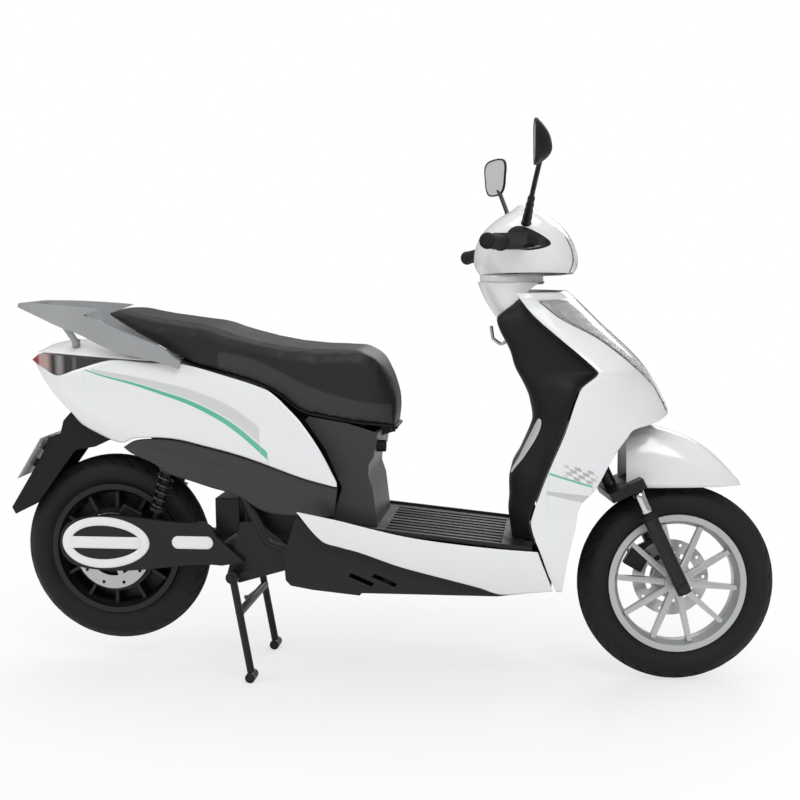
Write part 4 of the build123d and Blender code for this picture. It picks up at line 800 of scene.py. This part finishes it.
# ------------------------------------------------------------------ legshield
# Black moulding that faces the rider: a broad centre column between two wings, which meet
# the rim of the nose. A satin trim blade edges the column on each side.
column_x = [(340, 985), (416, 975), (449, 977), (506, 979), (546, 1000), (625, 1030), (681, 1024),
    (712, 1012), (752, 991), (788, 980), (866, 948), (905, 985)]


def shield_point(t, z):
    """Rider's face at height z, t from -1 (right) to 1 (left): the column blends out to the wings"""
    rim, half, back = along(rim_x, z), along(rim_half, z), along(column_x, z)
    blend = 0.5 - 0.5 * np.cos(np.pi * ((np.abs(t) - 0.35) / 0.6).clip(0, 1))
    return back + (rim - 4 - back) * blend, (half - 6.5) * t


lt, lv = np.meshgrid(np.linspace(-1, 1, 121), np.linspace(0, 1, 90), indexing="ij")
top_z = np.full_like(lt, 905.0)
for _ in range(30):
    top_z = 0.5 * top_z + 0.5 * np.minimum(905, 821 + (shield_point(lt, top_z)[0] - 900) * 0.875)
lz = 354 + (top_z - 354) * lv
lx, ly = shield_point(lt, lz)
shield = new_piece("legshield_moulding", grid_mesh("legshield_moulding", place(lx, ly, lz)[::-1]),
    black_plastic)
wall(shield)
settle(shield, "chassis", "black_plastic", "inner_legshield")

trim_meshes = []
for side in (-1, 1):
    s, v = np.meshgrid(np.linspace(0, 1, 60), np.linspace(-1, 1, 9), indexing="ij")
    z = 505 + 130 * s
    t = side * (0.44 + 0.10 * s + (0.055 + 0.04 * s) * v * np.sin(np.pi * s) ** 0.45)
    x, y = shield_point(t, z)
    trim_meshes.append(grid_mesh("trim", place(x - 0.6 - 3 * (1 - v**2), y, z)[::side]))
trim_silver = finish("satin_trim_paint", (0.55, 0.56, 0.57), 0.38, metal=0.2, grain=1500, bump=0.06)
trim_blades = new_piece("legshield_trim_blades", joined("legshield_trim_blades", trim_meshes), trim_silver)
wall(trim_blades, 0.0016)
settle(trim_blades, "chassis", "black_plastic")

# ------------------------------------------------------------------ neck cover and bag hook
# A white collar closes the fairing round the steering column. The bag hook is bent steel
# wire on a black plate, on the front of the column.
neck_rings = [(860, 946, 1062, 70), (900, 920, 1060, 78), (930, 906, 1056, 82), (946, 900, 1054, 82)]
na, nv = np.meshgrid(np.linspace(0, 2 * np.pi, 96, endpoint=False), np.linspace(0, 1, 18), indexing="ij")


def neck_point(a, z):
    back, front, half = (along([(r[0], r[k]) for r in neck_rings], z) for k in (1, 2, 3))
    return (back + front) / 2 + (front - back) / 2 * np.cos(a), half * np.sin(a)


neck_low = np.full_like(na, 880.0)
for _ in range(30):
    neck_low = 0.5 * neck_low + 0.5 * np.clip(822.9 + (neck_point(na, neck_low)[0] - 900) * 0.875, 860, 946)
nz = neck_low + (946 - neck_low) * nv
nx, ny = neck_point(na, nz)
neck = new_piece("neck_collar", grid_mesh("neck_collar", place(nx, ny, nz), close_u=True), panel_white)
wall(neck)
settle(neck, "chassis", "white_gloss", "neck_cover")
sa, sh = np.meshgrid(np.linspace(0, 2 * np.pi, 96, endpoint=False), np.linspace(940, 966, 4), indexing="ij")
sleeve_x, sleeve_y = neck_point(sa, np.minimum(sh, 946))
sleeve_x, sleeve_y = 977 + (sleeve_x - 977) * 0.93, sleeve_y * 0.93
sleeve = new_piece("neck_inner_sleeve", grid_mesh("neck_inner_sleeve", place(sleeve_x, sleeve_y, sh),
    close_u=True), panel_white)
settle(wall(sleeve), "chassis", "white_gloss")
from_node("bag_hook_wire", "bag_hook", "chassis", "bright_steel", bright_steel, 0)

# ------------------------------------------------------------------ steering stem and fork
# A ground steel stem and a welded yoke carry two telescopic legs. The lower sliders are cast
# alloy painted black, and the upper tubes that slide in them are hard chromed.
from_node("stem_and_yoke", "steering_stem", "steering", "stem_steel", black_steel, 0.0015)
from_node("fork_legs_and_axle", "fork_legs", "steering", "fork_black", cast_black, 0.001)
steer_fwd = np.array([np.cos(np.radians(25)), 0, np.sin(np.radians(25))])
steer_axis = np.array(steer_up)
fork_foot = np.array(foot)
turn = np.array(turned.to_3x3())


def at_fork(ahead, left, up):
    """Millimetres in the fork (ahead of the stem, left, up along it) to metres, turned with the bars"""
    ahead, left, up = np.broadcast_arrays(np.asarray(ahead, float), left, up)
    straight = ((steer_fwd * ahead[..., None] + np.array([0.0, 1.0, 0.0]) * left[..., None] + steer_axis
        * up[..., None]) / 1000)
    return fork_foot + straight @ turn.T


def steer(points):
    """Points of a piece drawn with the bars straight, turned with them"""
    return fork_foot + (points - fork_foot) @ turn.T


chrome_tube = finish("hard_chromed_tube", (0.66, 0.66, 0.67), 0.14, metal=1.0, grain=900, bump=0.03)
leg_meshes = [tube("leg", at_fork(42, side * 84, np.linspace(186, 250, 5)), 0.0133, 32) for side in (-1, 1)]
collar_meshes = [tube("collar", at_fork(42, side * 84, np.array([178.0, 178.5, 190, 192])),
    np.array([0.0172, 0.0185, 0.0185, 0.015]), 32) for side in (-1, 1)]
settle(new_piece("fork_tubes", joined("fork_tubes", leg_meshes), chrome_tube), "steering", "stem_steel")
settle(new_piece("fork_dust_seals", joined("fork_dust_seals", collar_meshes), rubber), "steering",
    "tyre_rubber")

# ------------------------------------------------------------------ front mudguard
# Gloss white beak over the front tyre, bolted to the fork legs, with a soft crease that runs
# along its shoulder to the tip.
guard_top = [(1236, 600), (1281, 612), (1325, 601), (1372, 587), (1418, 564), (1453, 538), (1488, 503),
    (1511, 475), (1517, 462)]
guard_half = [(1236, 60), (1300, 68), (1400, 66), (1460, 56), (1500, 36), (1517, 20)]
gx, gv = np.meshgrid(1238 + 278 * np.linspace(0, 1, 150), np.linspace(0, 1, 81), indexing="ij")
ga = np.pi * gv
g_rise = (along(guard_top, gx) - 464) * np.sin(ga) ** 0.7
g_half = along(guard_half, gx) * np.cos(ga)
g_crease = 1.8 * np.exp(-((np.abs(gv - 0.5) - 0.24) / 0.03) ** 2)
guard = new_piece("front_guard_moulding", grid_mesh("front_guard_moulding", steer(place(gx, g_half, 464
    + g_rise + g_crease))), panel_white)
wall(guard, 0.0028, -1.0)
settle(guard, "steering", "white_gloss", "front_fender")

# ------------------------------------------------------------------ bars, grips and levers
# A bent steel bar clamped to the stem. Soft rubber grips with moulded rings are pushed over
# its ends, and each lever is cast alloy, painted black, in a perch with the switches.
from_node("bar_tube", "handlebar", "steering", "black_steel", black_steel, 0.0005)
grip_rubber = finish("soft_grip_rubber", (0.008, 0.008, 0.0085), 0.65, grain=2200, bump=0.4, spec=0.3)
clamp = fork_foot + steer_axis * 0.905
grip_meshes = []
for side in (-1, 1):
    bend = clamp + np.array([-0.006, side * 0.200, -0.010])
    end = clamp + np.array([-0.052, side * 0.350, -0.016])
    run = (end - bend) / np.linalg.norm(end - bend)
    s = np.linspace(0, 1, 200)
    length = 0.1375
    rings = np.where(np.abs(s * 30 % 1 - 0.5) < 0.28, 0, 0.0009) * (s > 0.08) * (s < 0.93)
    girth = 0.0163 + 0.0030 * (s < 0.045) + 0.0012 * (s > 0.95) - rings
    girth = girth * np.where(s > 0.985, 0.9, 1)
    grip_meshes.append(tube("grip", steer(bend + run * (0.018 + s[:, None] * length)), girth, 28))
settle(new_piece("grip_sleeves", joined("grip_sleeves", grip_meshes), grip_rubber), "steering",
    "grip_rubber", "hand_grips")
from_node("lever_blades", "brake_levers", "steering", "black_alloy", cast_black, 0.0025)

# ------------------------------------------------------------------ headlamp cowl
# White cowl round the middle of the bars, closed at the top by a low peak. The headlamp's
# clear lens wraps its front, over a bright reflector.
cowl_front = [(957, 1118), (985, 1132), (1023, 1125), (1060, 1104), (1090, 1072), (1112, 1034), (1128, 1020)]
cowl_back = [(957, 905), (985, 890), (1025, 893), (1060, 910), (1090, 942), (1112, 978), (1128, 998)]
cowl_half = [(957, 108), (985, 126), (1025, 146), (1060, 142), (1090, 110), (1112, 66), (1128, 28)]
lens_edge = [(960, 1104), (990, 1112), (1022, 1104), (1056, 1082), (1086, 1046), (1104, 1018), (1122, 1060)]


def cowl_point(a, z, inset=0.0):
    """Level ring of the cowl: an ellipse whose front, back and half width change with height"""
    back, front, half = along(cowl_back, z) + inset, along(cowl_front, z) - inset, along(cowl_half, z) - inset
    return (back + front) / 2 + (front - back) / 2 * np.cos(a), half * np.sin(a)


def lens_angle(z):
    """Half angle of the ring that the headlamp lens takes at height z"""
    back, front = along(cowl_back, z), along(cowl_front, z)
    return np.arccos(((along(lens_edge, z) - (back + front) / 2) / ((front - back) / 2)).clip(-1, 1))


cowl_z = np.concatenate([np.linspace(962, 1100, 90), 1100 + 22 * np.sin(np.linspace(0.04, np.pi / 2, 30))])
qz, qs = np.meshgrid(cowl_z, np.linspace(0, 1, 150), indexing="ij")
gap = lens_angle(qz) + 0.012
qx, qy = cowl_point(gap + (2 * np.pi - 2 * gap) * qs, qz)
cap_rows = 12
shrink = np.linspace(1, 0, cap_rows)[1:, None]
cap_x = qx[-1].mean() + (qx[-1] - qx[-1].mean()) * shrink
cap_y = qy[-1] * shrink
cap_z = np.broadcast_to(qz[-1] + 0.8 * (1 - shrink**2), cap_x.shape)
cowl_mesh = grid_mesh("cowl_moulding", steer(place(np.vstack([qx, cap_x]), np.vstack([qy, cap_y]),
    np.vstack([qz, cap_z]))))
cowl = new_piece("cowl_moulding", outward(cowl_mesh), panel_white)
wall(cowl)
settle(cowl, "steering", "white_gloss", "handlebar_cowl")
# A black pad on each side of the cowl is painted shade: it stands for the dark inside of the opening where
# the bar leaves the cowl.
opening_meshes = []
for side in (-1, 1):
    oa, orr = np.meshgrid(np.linspace(0, 2 * np.pi, 90, endpoint=False), np.linspace(0, 1, 14), indexing="ij")
    ahead_x = 54 * np.cos(oa) * orr
    pad_z = 1036 + 25 * np.sin(oa) * orr * (1 - 0.4 * np.cos(oa)) - 0.16 * ahead_x
    pad_a = np.pi / 2 - (ahead_x - 8) / 116
    pad_x, pad_y = cowl_point(pad_a, pad_z, -1.3 * (1 - orr**6))
    opening_meshes.append(grid_mesh("opening", steer(place(pad_x, side * pad_y, pad_z)), close_u=True))
opening_shade_pads = new_piece("bar_opening_pads", joined("bar_opening_pads", [outward(m)
    for m in opening_meshes]), grip_rubber)
settle(opening_shade_pads, "steering", "grip_rubber")
hz, hs = np.meshgrid(np.linspace(963, 1111, 80), np.linspace(-1, 1, 90), indexing="ij")
hx, hy = cowl_point(lens_angle(hz) * hs, hz)
headlamp = new_piece("headlamp_cover", grid_mesh("headlamp_cover", steer(place(hx, hy, hz))), clear_lens)
wall(headlamp, 0.002)
settle(headlamp, "steering", "clear_lens", "headlamp_lens")
ix, iy = cowl_point(lens_angle(hz) * hs * 0.97, hz, 9 + 22 * (np.cos(hs * np.pi / 2)) * np.sin((hz - 963)
    / 148 * np.pi))
reflector = new_piece("headlamp_reflector", grid_mesh("headlamp_reflector", steer(place(ix, iy, hz))), chrome)
settle(reflector, "steering", "clear_lens")
ez, es = np.meshgrid(np.linspace(963, 1111, 80), np.array([-1, -0.5, 0.5, 1]), indexing="ij")
seal_meshes = []
for side in (-1, 1):
    ex, ey = cowl_point(side * (lens_angle(ez) + 0.006 + 0.014 * es), ez, -0.9)
    seal_meshes.append(grid_mesh("seal", steer(place(ex, ey, ez))))
settle(new_piece("headlamp_seals", joined("headlamp_seals", seal_meshes), gasket_grey), "steering",
    "clear_lens")

# ------------------------------------------------------------------ mirrors
# Black moulded housings on bent steel stalks, with a rubber boot where each stalk leaves the
# cowl. The glass is silvered, cut to a rounded five-sided outline, and faces the rider.
housing_meshes, stalk_meshes, glass_meshes = [], [], []
flat_rows = [0, 20, 36, 38, 39]  # a flat face needs close rows only at its rim
mirror_sets = ((-1, (1000, -330.9, 1226), -4, (1010, -322, 1202), 34, 54),
    (1, (968, 305.1, 1222), 22, (972, 296, 1190), 13, 60))
for side, centre, yaw_degrees, neck_top, deep, half_wide in mirror_sets:
    base, top = np.array([996.0, side * 104, 1052]), np.array(neck_top, float)
    s = np.linspace(0, 1, 40)[:, None]
    line = base + (top - base) * s + np.array([0, side * 6, 14]) * np.sin(np.pi * s) * 0.5
    line = steer(place(line[:, 0], line[:, 1], line[:, 2]))
    stalk_meshes.append(tube("stalk", line, 0.0056, 20))
    boot_r = 0.0115 - 0.004 * np.linspace(0, 1, 14) + 0.0008 * np.sin(np.arange(14) * 2.2)
    stalk_meshes.append(tube("boot", line[4:18], boot_r, 24))
    a, r = np.meshgrid(np.linspace(0, 2 * np.pi, 120, endpoint=False), np.linspace(0, 1, 40), indexing="ij")
    wide = (1 / (np.abs(np.cos(a) / half_wide) ** 3.2 + np.abs(np.sin(a) / 47) ** 3.2)) ** (1 / 3.2)
    across_y, up_z = r * wide * np.cos(a), r * wide * np.sin(a)
    across_y = across_y * (1 + 0.0045 * up_z * (up_z > 0) - 0.0016 * np.abs(up_z) * (up_z < 0)) * 0.92
    bulge = deep * (1 - r**2.4) * (1 - 0.35 * np.sin(a) * r)
    yaw = np.radians(yaw_degrees)

    def head(depth, spread, height):
        x = centre[0] + depth * np.cos(yaw) - spread * np.sin(yaw)
        y = centre[1] + depth * np.sin(yaw) + spread * np.cos(yaw)
        return steer(place(x, y, centre[2] + height))

    outer_back = head(-1 + bulge * 0.9, across_y, up_z)
    lip = head(-6.6, across_y[:, -1:], up_z[:, -1:])
    inner_lip = head(-6.6, across_y[:, -1:] * 0.955, up_z[:, -1:] * 0.945)
    flat_y, flat_z = across_y[:, flat_rows], up_z[:, flat_rows]
    recess = head(-4.6, flat_y[:, ::-1] * 0.955, flat_z[:, ::-1] * 0.945)
    shells = np.concatenate([outer_back, lip, inner_lip, recess], axis=1)
    housing_meshes.append(outward(grid_mesh("housing", shells, close_u=True)))
    faces = np.concatenate([head(-5.4, flat_y * 0.94, flat_z * 0.93),
        head(-4.8, flat_y[:, ::-1] * 0.94, flat_z[:, ::-1] * 0.93)], axis=1)
    glass_meshes.append(outward(grid_mesh("glass", faces, close_u=True)))
settle(new_piece("mirror_housings", joined("mirror_housings", housing_meshes), black_plastic), "steering",
    "black_plastic", "mirrors")
settle(new_piece("mirror_stalks", joined("mirror_stalks", stalk_meshes), black_steel), "steering",
    "black_steel")
mirror_silver = finish("silvered_mirror_glass", (0.74, 0.75, 0.77), 0.05, metal=0.35, grain=20, bump=0.005,
    mottle=0.01)
settle(new_piece("mirror_faces", joined("mirror_faces", glass_meshes), mirror_silver), "steering",
    "mirror_glass", "mirror_glasses")

# ------------------------------------------------------------------ seat
# A foam cushion, stepped up for the pillion, in black vinyl with an embossed grain. A welt
# runs round the top panel, and the cushion sits on a moulded pan hinged at its front.
from_node("seat_pan", "seat_base", "seat", "black_plastic", black_plastic, 0.0015)
vinyl = finish("grained_black_vinyl", (0.011, 0.011, 0.0115), 0.48, grain=520, bump=0.5, spec=0.35,
    mottle=0.15)
seat_mesh = frame["nodes"]["seat_cushion"].data.copy()
seat_mesh.materials.clear()
bm = bmesh.new()
bm.from_mesh(seat_mesh)
bmesh.ops.remove_doubles(bm, verts=bm.verts, dist=0.00001)
bm.to_mesh(seat_mesh)
bm.free()
seat_low, seat_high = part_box("seat_cushion")
co = np.empty(len(seat_mesh.vertices) * 3)
seat_mesh.vertices.foreach_get("co", co)
co = co.reshape(-1, 3)
core = np.array((seat_low + seat_high) / 2)
co[:, 1] = core[1] + (co[:, 1] - core[1]) * 0.95
co[:, 0] = core[0] + (co[:, 0] - core[0]) * 0.985
seat_mesh.vertices.foreach_set("co", co.ravel())
cushion = new_piece("seat_pad", seat_mesh, vinyl)
remesh = cushion.modifiers.new("skin", "REMESH")
remesh.mode = "VOXEL"
remesh.voxel_size = 0.0055
remesh.use_smooth_shade = True
bpy.context.view_layer.update()
skin_mesh = bpy.data.meshes.new_from_object(cushion.evaluated_get(bpy.context.evaluated_depsgraph_get()))
cushion.modifiers.clear()
cushion.data = skin_mesh
start_co = np.empty(len(skin_mesh.vertices) * 3)
skin_mesh.vertices.foreach_get("co", start_co)
start_co = start_co.reshape(-1, 3)
cloth = cushion.modifiers.new("cloth", "CLOTH")
cloth.settings.quality = 5
cloth.settings.mass = 0.4
cloth.settings.use_pressure = True
cloth.settings.uniform_pressure_force = 4
cloth.settings.effector_weights.gravity = 0
cloth.settings.tension_stiffness = 25
cloth.settings.compression_stiffness = 25
for step in range(1, 13):
    bpy.context.scene.frame_set(step)
puffed = cushion.evaluated_get(bpy.context.evaluated_depsgraph_get()).to_mesh()
end_co = np.empty(len(puffed.vertices) * 3)
puffed.vertices.foreach_get("co", end_co)
end_co = end_co.reshape(-1, 3)
cushion.evaluated_get(bpy.context.evaluated_depsgraph_get()).to_mesh_clear()
cushion.modifiers.clear()
bpy.context.scene.frame_set(1)
move = end_co - start_co
far = np.linalg.norm(move, axis=1, keepdims=True)
move = move * np.minimum(1, 0.005 / np.maximum(far, 1e-9))
under = start_co[:, 2:3] < np.interp(start_co[:, 0:1] - middle.x, [0.02, 0.3, 0.45, 0.7],
    [0.88, 0.76, 0.70, 0.62])
move = np.where(under, np.minimum(move, [1, 1, 1]) * [0.5, 0.5, 0.2], move)
skin_mesh.vertices.foreach_set("co", (start_co + move).ravel())
skin_co = np.empty(len(skin_mesh.vertices) * 3)
skin_mesh.vertices.foreach_get("co", skin_co)
skin_mm = (skin_co.reshape(-1, 3) - [middle.x, 0, 0]) * 1000
# Painted light: the cushion's sides below the edge of the top are coloured a lighter black, for the light
# they catch.
band_top = [(316, 792), (384, 776), (445, 748), (497, 720), (539, 702), (591, 686), (635, 674), (710, 663)]
band = (along(band_top, skin_mm[:, 0]) - skin_mm[:, 2]) / 10
attribute(skin_mesh, "painted_light_side", np.where((np.abs(skin_mm[:, 1]) > 60) & (skin_mm[:, 0] > 300), band, -3))
painted(vinyl, (0.034, 0.034, 0.036), "painted_light_side", 0.3, 60, 0.3)
rounding = cushion.modifiers.new("rounding", "SMOOTH")
rounding.factor = 0.5
rounding.iterations = 6
finer = cushion.modifiers.new("finer", "SUBSURF")
finer.levels = finer.render_levels = 1
settle(cushion, "seat", "seat_vinyl", "seat_cushion")

# ------------------------------------------------------------------ floor, light and camera
# A plain pale floor that fades into a white ground, two large soft lamps and a low fill.
scene = bpy.context.scene
scene.view_settings.view_transform = "Standard"
floor_mesh = grid_mesh("floor", np.stack(np.broadcast_arrays(*np.meshgrid(np.linspace(-14, 14, 3),
    np.linspace(-14, 14, 3), indexing="ij"), -0.0003), -1))
floor_paint = bpy.data.materials.new("pale_floor")
floor_paint.use_nodes = True
floor_nodes, floor_links = floor_paint.node_tree.nodes, floor_paint.node_tree.links
floor_shader = floor_nodes["Principled BSDF"]
floor_shader.inputs["Base Color"].default_value = (0.9, 0.9, 0.9, 1)
floor_shader.inputs["Roughness"].default_value = 0.6
floor_coords, floor_far, floor_fade = (floor_nodes.new(kind)
    for kind in ("ShaderNodeTexCoord", "ShaderNodeVectorMath", "ShaderNodeMapRange"))
floor_far.operation = "LENGTH"
floor_fade.inputs["From Min"].default_value = 0.5
floor_fade.inputs["From Max"].default_value = 1.7
floor_fade.inputs["To Min"].default_value = 0.6
floor_glow, floor_mix = floor_nodes.new("ShaderNodeEmission"), floor_nodes.new("ShaderNodeMixShader")
floor_path, floor_seen = floor_nodes.new("ShaderNodeLightPath"), floor_nodes.new("ShaderNodeMath")
floor_seen.operation = "MAXIMUM"
floor_seen.inputs[1].default_value = 0
floor_both = floor_nodes.new("ShaderNodeMath")
floor_both.operation = "MULTIPLY"
floor_out = floor_nodes["Material Output"]
floor_links.new(floor_coords.outputs["Object"], floor_far.inputs[0])
floor_links.new(floor_far.outputs["Value"], floor_fade.inputs["Value"])
floor_links.new(floor_path.outputs["Is Camera Ray"], floor_seen.inputs[0])
floor_links.new(floor_fade.outputs["Result"], floor_both.inputs[0])
floor_links.new(floor_seen.outputs["Value"], floor_both.inputs[1])
floor_links.new(floor_both.outputs["Value"], floor_mix.inputs["Fac"])
floor_links.new(floor_shader.outputs["BSDF"], floor_mix.inputs[1])
floor_links.new(floor_glow.outputs["Emission"], floor_mix.inputs[2])
floor_links.new(floor_mix.outputs["Shader"], floor_out.inputs["Surface"])
floor = new_piece("floor", outward(floor_mesh), floor_paint)
floor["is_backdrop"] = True

world = bpy.data.worlds.new("studio")
scene.world = world
world.use_nodes = True
wn, wl = world.node_tree.nodes, world.node_tree.links
wn.clear()
out, mix = wn.new("ShaderNodeOutputWorld"), wn.new("ShaderNodeMixShader")
fill, white = wn.new("ShaderNodeBackground"), wn.new("ShaderNodeBackground")
path, seen, seen2 = wn.new("ShaderNodeLightPath"), wn.new("ShaderNodeMath"), wn.new("ShaderNodeMath")
fill.inputs["Color"].default_value = (1, 1, 1, 1)
fill.inputs["Strength"].default_value = 0.42
white.inputs["Color"].default_value = (1, 1, 1, 1)
white.inputs["Strength"].default_value = 1.0
seen.operation = seen2.operation = "MAXIMUM"
seen.inputs[1].default_value = 0
wl.new(path.outputs["Is Camera Ray"], seen.inputs[0])
wl.new(seen.outputs["Value"], seen2.inputs[0])
wl.new(path.outputs["Is Transmission Ray"], seen2.inputs[1])
wl.new(seen2.outputs["Value"], mix.inputs["Fac"])
wl.new(fill.outputs["Background"], mix.inputs[1])
wl.new(white.outputs["Background"], mix.inputs[2])
wl.new(mix.outputs["Shader"], out.inputs["Surface"])


def lamp(name, spot, aim, size, power):
    light = bpy.data.lights.new(name, "AREA")
    light.shape = "RECTANGLE"
    light.size, light.size_y, light.energy = size[0], size[1], power
    holder = bpy.data.objects.new(name, light)
    holder.location = spot
    holder.rotation_euler = (Vector(aim) - Vector(spot)).to_track_quat("-Z", "Y").to_euler()
    scene.collection.objects.link(holder)


lamp("key", (1.6, -3.4, 3.4), (0, 0, 0.5), (2.6, 2.0), 86)
lamp("side", (-3.6, -1.6, 2.4), (0, 0, 0.6), (2.0, 2.0), 45)
lamp("top", (0.0, 0.6, 4.2), (0, 0, 0.5), (3.4, 2.6), 60)
lamp("back", (1.0, 3.6, 2.6), (0, 0, 0.6), (2.6, 1.6), 45)

camera = bpy.data.cameras.new("camera")
camera.lens, camera.sensor_width, camera.clip_end = 59.39, 36, 60
eye = bpy.data.objects.new("camera", camera)
eye.location = (0.4399, -3.1245, 1.0404)
look = Vector((0.0388, 0.0, 0.6639)) - eye.location
eye.rotation_euler = (look.to_track_quat("-Z", "Y") @ Matrix.Rotation(np.radians(-0.56), 3,
    "Z").to_quaternion()).to_euler()
scene.collection.objects.link(eye)
scene.camera = eye

low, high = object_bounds()
